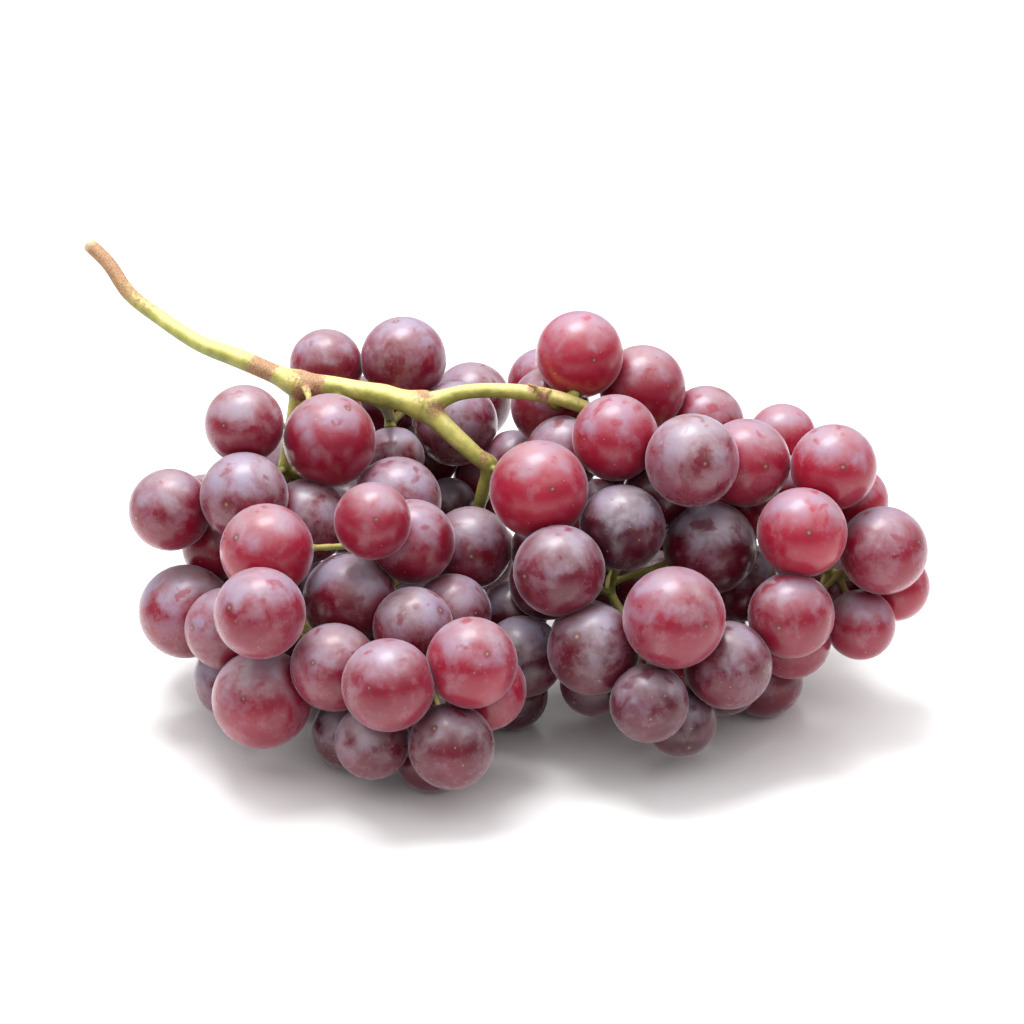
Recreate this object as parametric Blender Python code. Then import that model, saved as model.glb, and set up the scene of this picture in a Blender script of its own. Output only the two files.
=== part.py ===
"""A bunch of red table grapes that lies on its side on a table.

The berries sit in three lobes, and one branched green stem carries them all. The tables below give each
berry and each stem point as an eye sees it from the front, in millimetres: across is to the right of the
middle of the view, up is above it, and ahead is nearer the eye than the middle of the bunch. The object
itself is built in metres, +Z up.
"""

import math

import bmesh
import bpy
import numpy as np
from mathutils import Matrix, Vector

MM = 0.001

# Where the eye is: how far from the middle of the bunch, how steeply it looks down, and how high it aims
EYE_DISTANCE = 600.0
EYE_TILT = math.radians(25.0)
AIM_HEIGHT = 45.0

# Moves the middle of the finished bunch over the origin
MIDDLE_ACROSS = -2.7
MIDDLE_DEEP = -1.6

# Berries: the radius of a usual one is about 9.5 mm, and these are shares of two radii added together
PRESSED = 0.94
CLEAR = 0.99
LOBES_CLEAR = 1.045
SMALLEST_HIDDEN = 8.6
LARGEST_HIDDEN = 9.8
FLAT_SPOT_DEPTH = 0.4

# Berries as solids
BERRY_ROUNDS = 2
BERRY_SWELL = 1.02
BERRY_TURN = math.radians(9.0)
PAD_OVER = 0.95
PAD_RADIUS = 2.2
PAD_SIDES = 6

# Gaps between parts that only touch: the least one, and the one aimed at between two lobes
PART_GAP = 0.3
LOBE_GAP = 0.4

# Stem
PEDICEL_RADIUS = 0.75
PEDICEL_END_RADIUS = 1.3
PEDICEL_LONGEST = 30.0
PEDICEL_SPOTS = 24
PEDICEL_STARTS = 60
PEDICELS_FROM_ACROSS = -52.0
STEM_SPACING = 2.5

# The bare stalk is a node of its own, up to the middle between this row of its table and the next
STALK_LAST_ROW = 5
WELD = 0.01

# How finely stems are rounded: the stalk and its main branches, which show, and then the rest
ROUNDER_STEMS = 3
STALK_ROUNDING = 1
BRANCH_ROUNDING = 0

# How many places are tried for each hidden berry, and how many of the best are tried for a pedicel
HIDDEN_TRIES = 2000
HIDDEN_SECOND_TRIES = 12
HIDDEN_OVER_TABLE = 1.0
STEEPEST_DROP = 0.98
NEIGHBOURS_COUNTED = 3
GAP_WORTH = 0.3
OUT_OF_REACH = 9.0
SEED = 7

# How the hand-placed berries settle against each other: how many steps, how often the pairs that press on
# each other are chosen again, and until which step; how far each step goes at first, then in the end
SETTLE_STEPS = 700
REJOIN_EVERY = 40
REJOIN_UNTIL = 560
FIRST_PACE = 0.6
LAST_PACE = 0.35
PACE_CHANGE = 0.65
FLOOR_PACE = 0.5
SIDEWAYS_COST = 3
MOST_OUTWARD = 3

# How freely a berry leaves its line of sight: its share of a push, what it keeps of it, and the most in mm
SEEN_SLIP, SEEN_GRIP, SEEN_MOST = 0.08, 0.965, 0.9
GLIMPSED_SLIP, GLIMPSED_GRIP, GLIMPSED_MOST = 0.5, 0.996, 8.0

# The eye's view as a grid of square millimetres, for the bunch's outline: its half width and half height
VIEW_HALF_WIDTH = 110
VIEW_HALF_HEIGHT = 80
RIM_SPOTS = 16
COVER_MARGIN = 2.0

# The block that cuts the flat spots, in metres
CUTTER_WIDTH = 0.4
CUTTER_HEIGHT = 0.1

# Rows are across, up, radius, ahead. A seen berry stays on its line of sight, and a glimpsed one may shift
LEFT_SEEN = [
    (-59.5, 19.5, 8.8, -4),
    (-40.5, 16.0, 10.4, 10),
    (-76.0, 0.5, 9.2, 2),
    (-59.5, 3.5, 9.8, 4),
    (-54.5, -8.5, 10.4, 18),
    (-45.5, -2.0, 9.4, 2),
    (-31.0, -2.0, 8.6, 22),
    (-25.5, 2.5, 9.8, 4),
    (-22.0, -6.5, 9.4, 12),
    (-9.0, -8.0, 9.6, -6),
    (-36.0, -19.5, 10.6, 12),
    (-56.0, -22.5, 10.2, 30),
    (-72.5, -22.0, 10.4, 8),
    (-63.5, -26.0, 9.2, 18),
    (-55.5, -41.5, 11.2, 20),
    (-39.5, -34.5, 9.8, 28),
    (-27.5, -38.5, 10.4, 40),
    (-22.0, -25.5, 9.8, 24),
    (-13.0, -22.5, 9.4, 12),
    (-9.0, -33.5, 10.2, 40),
    (-6.0, -39.5, 9.2, 26),
    (-31.0, -51.0, 8.4, 26),
    (-13.5, -52.0, 9.6, 34),
    (-18.0, -54.5, 7.8, 24),
]
LEFT_GLIMPSED = [
    (-66.0, -8.0, 8.0, -6),
    (-60.0, -35.5, 9.2, 0),
    (-36.5, -49.0, 8.0, 14),
]
BACK_SEEN = [
    (-41.5, 32.5, 8.2, -30),
    (-24.0, 34.0, 9.6, -27),
    (-9.0, 24.5, 8.8, -40),
    (-12.5, 19.5, 9.4, -24),
    (-26.5, 12.0, 8.4, -18),
]
BACK_GLIMPSED = [
    (-38.5, 24.5, 7.8, -20),
    (-17.5, 14.5, 8.0, -36),
    (-14.0, 1.5, 6.2, -28),
    (0.5, 11.0, 7.2, -20),
    (-52.0, 6.0, 8.0, -24),
]
RIGHT_SEEN = [
    (15.0, 35.0, 10.0, -5),
    (29.0, 27.5, 9.6, -15),
    (8.5, 23.5, 8.8, -14),
    (11.5, 13.0, 8.4, -4),
    (23.0, 16.5, 9.6, 10),
    (43.0, 19.5, 8.6, -18),
    (6.0, 5.0, 11.0, 14),
    (40.0, 11.5, 10.4, 20),
    (52.0, 11.0, 9.8, 8),
    (60.0, 16.5, 7.6, -18),
    (71.5, 10.0, 9.6, 6),
    (64.5, -4.5, 10.0, 20),
    (82.5, -8.5, 9.8, 10),
    (77.5, -25.0, 7.8, 4),
    (62.0, -23.0, 9.6, 16),
    (24.5, -3.5, 9.6, 10),
    (44.0, -8.0, 10.4, 6),
    (10.5, -13.0, 10.2, 24),
    (18.0, -30.5, 10.2, 18),
    (36.0, -23.5, 11.4, 30),
    (48.0, -34.0, 9.8, 20),
    (30.5, -42.5, 8.8, 24),
    (37.5, -46.5, 8.0, 13),
    (2.0, -32.0, 9.2, 10),
]
RIGHT_GLIMPSED = [
    (7.0, 28.5, 8.0, -24),
    (77.0, 0.0, 7.8, -10),
    (85.0, -16.5, 7.8, -4),
    (0.0, -40.5, 8.0, 2),
    (18.0, -38.0, 7.4, 6),
    (61.0, -28.5, 8.8, 2),
    (56.0, -37.0, 8.6, -7),
    (47.5, -37.5, 7.4, 2),
    (62.5, 6.0, 6.6, -12),
    (52.0, 1.5, 8.0, -6),
    (51.0, -16.0, 8.4, -4),
    (32.0, 5.0, 7.8, -2),
    (-1.5, -20.0, 7.4, -4),
    (7.5, -16.0, 8.4, 8),
    (-1.0, -8.0, 7.2, -22),
]

# Each lobe's node name, its berries, how many hidden ones fill it out behind, and where their middles may
# lie: the middle of an egg shape over the table and its half widths, as across, deep (away from the eye)
# and high
LOBES = [
    ("berries_left", LEFT_SEEN, LEFT_GLIMPSED, 17, (-46.0, -4.0, 30.0), (36.0, 40.0, 28.0)),
    ("berries_back", BACK_SEEN, BACK_GLIMPSED, 10, (-24.0, 32.0, 38.0), (28.0, 24.0, 32.0)),
    ("berries_right", RIGHT_SEEN, RIGHT_GLIMPSED, 22, (44.0, 2.0, 38.0), (44.0, 36.0, 36.0)),
]

# Stems: rows are across, up, ahead, thickness. The first is the main stalk, from its cut end to the fork
STALK = [
    (-94.0, 59.5, -22, 3.8),
    (-89.5, 55.0, -20, 3.8),
    (-85.0, 48.5, -18, 3.9),
    (-78.0, 43.0, -16, 4.0),
    (-69.5, 37.5, -13, 4.3),
    (-60.5, 34.0, -10, 5.0),
    (-53.5, 31.0, -8, 5.0),
    (-47.5, 28.5, -6, 5.8),
    (-40.5, 28.0, -4, 5.2),
    (-29.5, 26.0, -3, 5.2),
    (-19.5, 23.5, -2, 5.6),
]
RIGHT_BRANCH = [
    (-19.5, 23.5, -2, 5.0),
    (-11.5, 26.5, -1, 3.8),
    (-2.5, 27.0, 1, 3.8),
    (7.0, 26.0, 2, 3.9),
    (15.5, 23.5, 1, 3.6),
    (24.0, 18.5, -6, 3.4),
    (32.0, 12.5, -10, 3.2),
    (45.0, 4.0, -14, 3.0),
    (55.0, -5.0, -12, 2.8),
    (64.0, -11.0, -6, 2.6),
    (72.5, -14.0, -2, 2.4),
]
MIDDLE_BRANCH = [
    (-19.5, 23.5, -2, 5.0),
    (-14.0, 18.0, -2, 4.9),
    (-8.0, 12.5, -3, 4.4),
    (-5.0, 10.0, -5, 4.2),
    (-6.5, 4.5, -9, 3.4),
    (-8.0, -2.0, -14, 3.0),
    (-11.0, -12.0, -16, 2.8),
    (-16.0, -22.0, -12, 2.6),
]
LEFT_BRANCH = [
    (-47.0, 28.0, -7, 4.5),
    (-48.5, 21.5, -8, 3.6),
    (-50.5, 9.5, -9, 3.2),
    (-50.5, -2.0, -13, 3.0),
    (-49.5, -14.0, -12, 2.8),
    (-45.0, -26.0, -2, 2.6),
    (-36.0, -34.0, 8, 2.4),
    (-25.0, -37.0, 14, 2.4),
    (-15.6, -34.2, 25, 2.2),
]
SIDE_BRANCH = [
    (-50.5, -2.0, -13, 2.6),
    (-60.0, -8.0, -16, 2.4),
    (-68.0, -12.0, -10, 2.2),
]
UPPER_BRANCH = [
    (-50.5, 9.5, -9, 2.6),
    (-41.0, 5.0, -12, 2.4),
    (-34.0, -5.0, -8, 2.2),
    (-34.5, -7.5, 15, 2.0),
]
INNER_BRANCH = [
    (-34.0, -5.0, -8, 2.2),
    (-27.0, -14.0, 0, 2.0),
]
BACK_BRANCH = [
    (-28.5, 25.5, -4, 4.0),
    (-27.5, 22.0, -12, 3.0),
    (-27.0, 20.0, -24, 2.8),
    (-26.0, 10.0, -34, 2.4),
]
REAR_BRANCH = [
    (-27.0, 20.0, -24, 2.4),
    (-20.0, 26.0, -36, 2.0),
]
LOW_BRANCH = [
    (28.5, 15.0, -9, 3.0),
    (26.5, 2.5, -14, 2.8),
    (24.0, -10.5, -8, 2.6),
    (22.0, -18.0, 2, 2.4),
    (30.5, -30.5, 4, 2.2),
]
FAR_BRANCH = [
    (45.0, 4.0, -14, 2.8),
    (46.5, -8.5, -17, 2.6),
    (48.0, -20.0, -14, 2.4),
]
BRANCHES = [
    RIGHT_BRANCH,
    MIDDLE_BRANCH,
    LEFT_BRANCH,
    SIDE_BRANCH,
    UPPER_BRANCH,
    INNER_BRANCH,
    BACK_BRANCH,
    REAR_BRANCH,
    LOW_BRANCH,
    FAR_BRANCH,
]

# Colours, as linear red, green and blue
BERRY_RED = (0.20, 0.02, 0.04, 1.0)
STEM_GREEN = (0.38, 0.36, 0.08, 1.0)
BERRY_ROUGHNESS = 0.35
STEM_ROUGHNESS = 0.55

# The eye's own axes in the object's frame, as rows: to its right, upward, and toward it
EYE_AXES = np.array([
    [1.0, 0.0, 0.0],
    [0.0, math.sin(EYE_TILT), math.cos(EYE_TILT)],
    [0.0, -math.cos(EYE_TILT), math.sin(EYE_TILT)],
])
AIM = np.array([0.0, 0.0, AIM_HEIGHT])


def turned(points, axes):
    """The sum of three axes, each as long as the point's own number for it."""
    return points[..., 0:1] * axes[0] + points[..., 1:2] * axes[1] + points[..., 2:3] * axes[2]


def to_space(points):
    """Points in the eye's axes, given as places in the object's frame, millimetres."""
    return AIM + turned(points, EYE_AXES)


def to_eye(points):
    return turned(points - AIM, EYE_AXES.T)


def shrink_at(ahead):
    """How much smaller than at the middle of the bunch a thing is, for it to look the same size."""
    return (EYE_DISTANCE - ahead) / EYE_DISTANCE


def lengths(vectors):
    return np.sqrt((vectors ** 2).sum(axis=-1))


def stem_path(rows):
    """Stem rows as points in the eye's axes, with a radius each."""
    table = np.array(rows, float)
    scale = shrink_at(table[:, 2])
    return np.column_stack([table[:, 0] * scale, table[:, 1] * scale, table[:, 2], table[:, 3] / 2])


def spaced(path, spacing):
    """The same path with points no further apart than the spacing."""
    rows = []
    for start, end in zip(path[:-1], path[1:]):
        pieces = max(1, math.ceil(lengths(end[:3] - start[:3]) / spacing))
        for piece in range(pieces):
            rows.append(start + (end - start) * piece / pieces)
    rows.append(path[-1])
    return np.array(rows)


def shortest_tree(cost, members):
    """Pairs that join all the members at the least cost."""
    joined = [members[0]]
    waiting = list(members[1:])
    pairs = []
    while waiting:
        block = cost[np.ix_(joined, waiting)]
        row, column = np.unravel_index(np.argmin(block), block.shape)
        pairs.append((joined[row], waiting[column]))
        joined.append(waiting.pop(column))
    return pairs


def seen_table():
    """All the berries of the hand tables, each row with its lobe and whether it is only glimpsed."""
    rows = []
    for lobe, (_, seen, glimpsed, _, _, _) in enumerate(LOBES):
        rows += [row + (lobe, 0) for row in seen]
        rows += [row + (lobe, 1) for row in glimpsed]
    return np.array(rows, float)


def settle(table, stem_points):
    """Moves the berries until neighbours touch and none cross, mostly along the eye's lines of sight."""
    across, up, radius, first_ahead, lobe, glimpsed = table.T
    glimpsed = glimpsed > 0
    count = len(table)
    first, second = np.triu_indices(count, 1)
    pair_number = {pair: number for number, pair in enumerate(zip(first, second))}
    nearer = np.where(first_ahead[first] >= first_ahead[second], 1.0, -1.0)
    same_lobe = lobe[first] == lobe[second]
    beside_stem = np.where(first_ahead[:, None] >= stem_points[None, :, 2], 1.0, -1.0)
    slip = np.where(glimpsed, GLIMPSED_SLIP, SEEN_SLIP)[:, None]
    grip = np.where(glimpsed, GLIMPSED_GRIP, SEEN_GRIP)[:, None]
    most_shift = np.where(glimpsed, GLIMPSED_MOST, SEEN_MOST)
    ahead = first_ahead.copy()
    shift = np.zeros((count, 2))
    joined = np.zeros(len(first), bool)
    for step in range(SETTLE_STEPS):
        scale = shrink_at(ahead)
        flat = np.column_stack([across, up]) * scale[:, None] + shift
        size = radius * scale
        centres = np.column_stack([flat, ahead])
        if step % REJOIN_EVERY == 0 and step < REJOIN_UNTIL:
            sums = size[:, None] + size[None]
            apart = lengths(centres[:, None] - centres[None]) / sums
            beside = lengths(flat[:, None] - flat[None]) / sums
            cost = np.maximum(apart - PRESSED, 0) + SIDEWAYS_COST * np.maximum(beside - PRESSED, 0)
            joined[:] = False
            for number in range(len(LOBES)):
                for a, b in shortest_tree(cost, list(np.where(lobe == number)[0])):
                    joined[pair_number[(min(a, b), max(a, b))]] = True

        sums = size[first] + size[second]
        reach = np.where(same_lobe, CLEAR * sums, BERRY_SWELL * sums + LOBE_GAP)
        reach = np.where(joined, PRESSED * sums, reach)
        sideways = flat[first] - flat[second]
        beside = lengths(sideways) + 1e-9
        in_front = (ahead[first] - ahead[second]) * nearer
        wanted = np.sqrt(np.maximum(reach ** 2 - beside ** 2, 0))
        crossing = (beside < reach) & (in_front < wanted)
        active = crossing | joined
        forward = np.where(active, wanted - in_front, 0) * nearer / 2
        too_near = np.clip(reach - np.sqrt(beside ** 2 + in_front ** 2), 0, MOST_OUTWARD)
        outward = np.where(crossing & ~joined, too_near, 0)
        outward += np.where(joined & (beside > reach), reach - beside, 0)
        outward = sideways / beside[:, None] * outward[:, None] / 2
        move = np.zeros(count)
        slide = np.zeros((count, 2))
        meetings = np.zeros(count)
        for side, ends in ((1, first), (-1, second)):
            np.add.at(move, ends, side * forward)
            np.add.at(slide, ends, side * outward)
            np.add.at(meetings, ends, active)

        keep_off = (BERRY_SWELL * size)[:, None] + stem_points[None, :, 3] + PART_GAP
        aside = lengths(flat[:, None] - stem_points[None, :, :2])
        wanted = np.sqrt(np.maximum(keep_off ** 2 - aside ** 2, 0))
        lead = (ahead[:, None] - stem_points[None, :, 2]) * beside_stem
        short = np.where(wanted > 0, np.maximum(wanted - lead, 0), 0)
        worst = np.argmax(short, axis=1)
        own = np.arange(count)
        move += short[own, worst] * beside_stem[own, worst]
        meetings += short[own, worst] > 0

        pace = FIRST_PACE if step < SETTLE_STEPS * PACE_CHANGE else LAST_PACE
        ahead = ahead + pace * move / np.maximum(meetings, 1)
        shift = (shift + slip * pace * slide) * grip
        shift *= np.minimum(1, most_shift / np.maximum(lengths(shift), 1e-9))[:, None]
        height = AIM_HEIGHT + centres[:, 1] * math.cos(EYE_TILT) + ahead * math.sin(EYE_TILT)
        below = np.maximum(size - FLAT_SPOT_DEPTH - height, 0)
        ahead = ahead + FLOOR_PACE * below / math.sin(EYE_TILT)
    scale = shrink_at(ahead)
    flat = np.column_stack([across, up]) * scale[:, None] + shift
    return to_space(np.column_stack([flat, ahead])), radius * scale


def filled_outline(centres, radii):
    """Which square millimetres of the eye's view lie in the outline of the berries, and its open gaps.

    The gaps are given as the places of their square millimetres."""
    eye = to_eye(centres)
    scale = shrink_at(eye[:, 2])[:, None]
    middles = eye[:, :2] / scale
    sizes = radii / scale[:, 0]
    columns = np.arange(-VIEW_HALF_WIDTH, VIEW_HALF_WIDTH + 1)
    rows = np.arange(-VIEW_HALF_HEIGHT, VIEW_HALF_HEIGHT + 1)
    grid_across, grid_up = np.meshgrid(columns, rows, indexing="ij")
    squares = np.stack([grid_across, grid_up], axis=-1)
    covered = np.zeros(grid_across.shape, bool)
    for middle, size in zip(middles, sizes):
        covered |= lengths(squares - middle) < size
    outside = np.zeros(covered.shape, bool)
    outside[0, :] = True
    grown = True
    while grown:
        spread = outside.copy()
        spread[1:, :] |= outside[:-1, :]
        spread[:-1, :] |= outside[1:, :]
        spread[:, 1:] |= outside[:, :-1]
        spread[:, :-1] |= outside[:, 1:]
        spread &= ~covered
        grown = (spread != outside).any()
        outside = spread
    return ~outside, squares[~outside & ~covered]


def uncovered(gaps, centre, radius):
    """The gaps that a berry leaves open."""
    eye = to_eye(centre)
    scale = shrink_at(eye[2])
    return gaps[lengths(gaps - eye[:2] / scale) > radius / scale]


def gaps_closed(gaps, candidates, radius):
    """How many square millimetres of the gaps a berry would close at each of the candidate places."""
    eye = to_eye(candidates)
    scale = shrink_at(eye[:, 2])
    between = lengths(gaps[None] - (eye[:, :2] / scale[:, None])[:, None])
    return (between < (radius / scale)[:, None]).sum(axis=1)


def behind_the_seen(candidates, radius, outline, seen_centres, seen_radii):
    """Which candidate places would neither widen the outline nor cover a seen berry."""
    eye = to_eye(candidates)
    scale = shrink_at(eye[:, 2])
    middle = eye[:, :2] / scale[:, None]
    size = radius / scale
    fine = np.ones(len(candidates), bool)
    last_column, last_row = 2 * VIEW_HALF_WIDTH, 2 * VIEW_HALF_HEIGHT
    for turn in np.linspace(0, 2 * math.pi, RIM_SPOTS, endpoint=False):
        rim = middle + size[:, None] * np.array([math.cos(turn), math.sin(turn)])
        square = np.round(rim).astype(int) + np.array([VIEW_HALF_WIDTH, VIEW_HALF_HEIGHT])
        fine &= outline[square[:, 0].clip(0, last_column), square[:, 1].clip(0, last_row)]
    seen_eye = to_eye(seen_centres)
    seen_scale = shrink_at(seen_eye[:, 2])
    between = lengths(middle[:, None] - seen_eye[None, :, :2] / seen_scale[None, :, None])
    into = np.maximum(between - (seen_radii / seen_scale)[None], 0)
    front = eye[:, 2][:, None] + np.sqrt(np.maximum(size[:, None] ** 2 - into ** 2, 0))
    covers = (into < size[:, None]) & (front > seen_eye[None, :, 2] + COVER_MARGIN)
    return fine & ~covers.any(axis=1)


def ease_apart(centres, radii, lobe, stem_points):
    """Slims a berry that comes too near one of another lobe or a stem."""
    radii = radii.copy()
    stem_places = to_space(stem_points[:, :3])
    for number, centre in enumerate(centres):
        others = lobe != lobe[number]
        spare = (lengths(centres[others] - centre) - PART_GAP) / BERRY_SWELL - radii[others]
        stem_spare = lengths(stem_places - centre) - stem_points[:, 3] - PART_GAP
        radii[number] = min(radii[number], spare.min(), stem_spare.min() / BERRY_SWELL)
    return radii


def along_pedicel(start, end):
    """Spots along a pedicel, as places with the pedicel's radius there."""
    share = np.linspace(0, 1, PEDICEL_SPOTS // 3)[:, None]
    widths = PEDICEL_RADIUS + (PEDICEL_END_RADIUS - PEDICEL_RADIUS) * share
    return np.column_stack([start + (end - start) * share, widths])


def find_pedicel(centre, radius, starts, other_centres, other_radii):
    """The two ends of the shortest straight pedicel to a berry that keeps clear of the others, or None."""
    touch = BERRY_SWELL * radius + PART_GAP
    spans = lengths(starts - centre)
    nearest = np.argsort(spans)[:PEDICEL_STARTS]
    begins, spans = starts[nearest], spans[nearest]
    ends = centre + (begins - centre) * (touch / spans)[:, None]
    share = np.linspace(0, 1, PEDICEL_SPOTS)[:, None]
    spots = begins[:, None] + (ends - begins)[:, None] * share
    room = lengths(spots[:, :, None] - other_centres) - BERRY_SWELL * other_radii - PART_GAP
    widths = PEDICEL_RADIUS + (PEDICEL_END_RADIUS - PEDICEL_RADIUS) * share[:, 0]
    clear = (room.min(axis=2) > widths).all(axis=1) & (spans - touch < PEDICEL_LONGEST)
    if not clear.any():
        return None
    best = np.argmax(clear)
    return begins[best], ends[best]


def seen_pedicels(centres, radii, starts):
    found = []
    for own, centre in enumerate(centres):
        others = np.arange(len(centres)) != own
        found.append(find_pedicel(centre, radii[own], starts, centres[others], radii[others]))
    return found


def candidate_places(number, radius, centres, radii, lobe, draw):
    """Places where a hidden berry would press on one of its own lobe, half of them down on the table."""
    parents = draw.choice(np.where(lobe == number)[0], HIDDEN_TRIES)
    direction = draw.normal(size=(HIDDEN_TRIES, 3))
    direction /= lengths(direction)[:, None]
    reach = PRESSED * (radii[parents] + radius)
    drop = (radius - FLAT_SPOT_DEPTH - centres[parents, 2]) / reach
    put_down = (np.arange(HIDDEN_TRIES) % 2 == 0) & (np.abs(drop) < STEEPEST_DROP)
    level = np.sqrt(np.maximum(1 - drop ** 2, 0))
    around = direction[:, :2] / lengths(direction[:, :2])[:, None]
    floor_way = np.column_stack([around * level[:, None], drop])
    direction = np.where(put_down[:, None], floor_way, direction)
    places = centres[parents] + direction * reach[:, None]
    gaps = lengths(places[:, None] - centres[None]) / (radii[None] + radius)
    gaps[np.arange(HIDDEN_TRIES), parents] = OUT_OF_REACH
    return places, gaps, put_down


def grow_hidden(centres, radii, lobe, stem_points, pedicels, starts, draw):
    """Sets hidden berries against the others, each where it packs most closely and a pedicel reaches."""
    seen_centres, seen_radii = centres, radii
    outline, open_gaps = filled_outline(centres, radii)
    stem_spots = np.column_stack([to_space(stem_points[:, :3]), stem_points[:, 3]])
    rows = [along_pedicel(*pedicel) for pedicel in pedicels if pedicel is not None]
    stem_spots = np.vstack([stem_spots] + rows)
    for turn in range(max(row[3] for row in LOBES)):
        for number, (_, _, _, wanted, middle, half_widths) in enumerate(LOBES):
            if turn >= wanted:
                continue
            radius = draw.uniform(SMALLEST_HIDDEN, LARGEST_HIDDEN)
            places, gaps, put_down = candidate_places(number, radius, centres, radii, lobe, draw)
            clear = (gaps > np.where(lobe == number, CLEAR, LOBES_CLEAR)).all(axis=1)
            stem_gap = lengths(places[:, None] - stem_spots[None, :, :3]) - stem_spots[None, :, 3]
            clear &= stem_gap.min(axis=1) > BERRY_SWELL * radius + PART_GAP
            clear &= (places[:, 2] > radius + HIDDEN_OVER_TABLE) | put_down
            clear &= lengths((places - np.array(middle)) / np.array(half_widths)) < 1.0
            clear &= behind_the_seen(places, radius, outline, seen_centres, seen_radii)
            good = np.where(clear)[0]
            crowding = np.sort(gaps[good], axis=1)[:, :NEIGHBOURS_COUNTED].sum(axis=1)
            crowding -= GAP_WORTH * gaps_closed(open_gaps, places[good], radius)
            for best in good[np.argsort(crowding, kind="stable")][:HIDDEN_SECOND_TRIES]:
                pedicel = find_pedicel(places[best], radius, starts, centres, radii)
                if pedicel is None:
                    continue
                centres = np.vstack([centres, places[best]])
                radii = np.append(radii, radius)
                lobe = np.append(lobe, number)
                pedicels = pedicels + [pedicel]
                stem_spots = np.vstack([stem_spots, along_pedicel(*pedicel)])
                open_gaps = uncovered(open_gaps, places[best], radius)
                break
    return centres, radii, lobe, pedicels


def lay_out():
    """The whole bunch: berry centres, radii and lobes, the stem paths, and a pedicel for each berry."""
    draw = np.random.default_rng(SEED)
    paths = [stem_path(rows) for rows in [STALK] + BRANCHES]
    stem_points = np.vstack([spaced(path, STEM_SPACING) for path in paths])
    starts = to_space(stem_points[stem_points[:, 0] > PEDICELS_FROM_ACROSS, :3])
    table = seen_table()
    lobe = table[:, 4].astype(int)
    centres, radii = settle(table, stem_points)
    radii = ease_apart(centres, radii, lobe, stem_points)
    pedicels = seen_pedicels(centres, radii, starts)
    centres, radii, lobe, pedicels = grow_hidden(centres, radii, lobe, stem_points, pedicels, starts, draw)
    return centres, radii, lobe, paths, pedicels


def clear_scene():
    for old in list(bpy.data.objects):
        bpy.data.objects.remove(old)


def collection_named(name):
    collection = bpy.data.collections.new(name)
    bpy.context.scene.collection.children.link(collection)
    return collection


def material(name, colour, roughness):
    made = bpy.data.materials.new(name)
    made.use_nodes = True
    shader = made.node_tree.nodes["Principled BSDF"]
    shader.inputs["Base Color"].default_value = colour
    shader.inputs["Roughness"].default_value = roughness
    shader.inputs["Metallic"].default_value = 0.0
    return made


def placed(point):
    """A place in millimetres as one in metres, with the bunch moved over the origin."""
    return Vector((point[0] - MIDDLE_ACROSS, point[1] - MIDDLE_DEEP, point[2])) * MM


def add_berry(collection, centre, radius):
    """A round berry with few sides, turned so that its corners reach equally far on all four sides."""
    mesh = bpy.data.meshes.new("berry")
    shape = bmesh.new()
    bmesh.ops.create_icosphere(
        shape,
        subdivisions=BERRY_ROUNDS,
        radius=BERRY_SWELL * radius * MM,
        matrix=Matrix.Translation(placed(centre)) @ Matrix.Rotation(BERRY_TURN, 4, "Z"),
    )
    shape.to_mesh(mesh)
    shape.free()
    berry = bpy.data.objects.new("berry", mesh)
    collection.objects.link(berry)
    return berry


def add_pad(collection, start, end):
    """A small patch in a joint where two berries only just touch."""
    way = placed(end) - placed(start)
    turn = way.to_track_quat("Z", "Y").to_matrix().to_4x4()
    mesh = bpy.data.meshes.new("pad")
    shape = bmesh.new()
    bmesh.ops.create_cone(
        shape,
        cap_ends=True,
        segments=PAD_SIDES,
        radius1=PAD_RADIUS * MM,
        radius2=PAD_RADIUS * MM,
        depth=way.length,
        matrix=Matrix.Translation((placed(start) + placed(end)) / 2) @ turn,
    )
    shape.to_mesh(mesh)
    shape.free()
    pad = bpy.data.objects.new("pad", mesh)
    collection.objects.link(pad)
    return pad


def add_tube(collection, points, radii, rounding):
    """A bevelled curve through the points, as a closed mesh."""
    curve = bpy.data.curves.new("tube", "CURVE")
    curve.dimensions = "3D"
    curve.bevel_depth = MM
    curve.bevel_resolution = rounding
    curve.use_fill_caps = True
    line = curve.splines.new("POLY")
    line.points.add(len(points) - 1)
    for spot, point, radius in zip(line.points, points, radii):
        spot.co = (*placed(point), 1.0)
        spot.radius = radius
    guide = bpy.data.objects.new("tube", curve)
    mesh = bpy.data.meshes.new_from_object(guide)
    bpy.data.objects.remove(guide)
    shape = bmesh.new()
    shape.from_mesh(mesh)
    bmesh.ops.remove_doubles(shape, verts=shape.verts, dist=WELD * MM)
    bmesh.ops.recalc_face_normals(shape, faces=shape.faces)
    shape.to_mesh(mesh)
    shape.free()
    tube = bpy.data.objects.new("tube", mesh)
    collection.objects.link(tube)
    return tube


def joined_as_one(name, pieces, collection, look):
    """Fuses the pieces into the first of them, as one named object."""
    whole = pieces[0]
    for piece in pieces[1:]:
        collection.objects.unlink(piece)
    others = bpy.data.collections.new(name + "_pieces")
    for piece in pieces[1:]:
        others.objects.link(piece)
    union = whole.modifiers.new("union", "BOOLEAN")
    union.operation = "UNION"
    union.solver = "EXACT"
    union.operand_type = "COLLECTION"
    union.collection = others
    bpy.context.view_layer.update()
    graph = bpy.context.evaluated_depsgraph_get()
    fused = bpy.data.meshes.new_from_object(whole.evaluated_get(graph))
    whole.modifiers.clear()
    whole.data = fused
    for piece in list(others.objects):
        bpy.data.objects.remove(piece)
    bpy.data.collections.remove(others)
    whole.name = name
    fused.name = name
    fused.materials.clear()
    fused.materials.append(look)
    return whole


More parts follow.
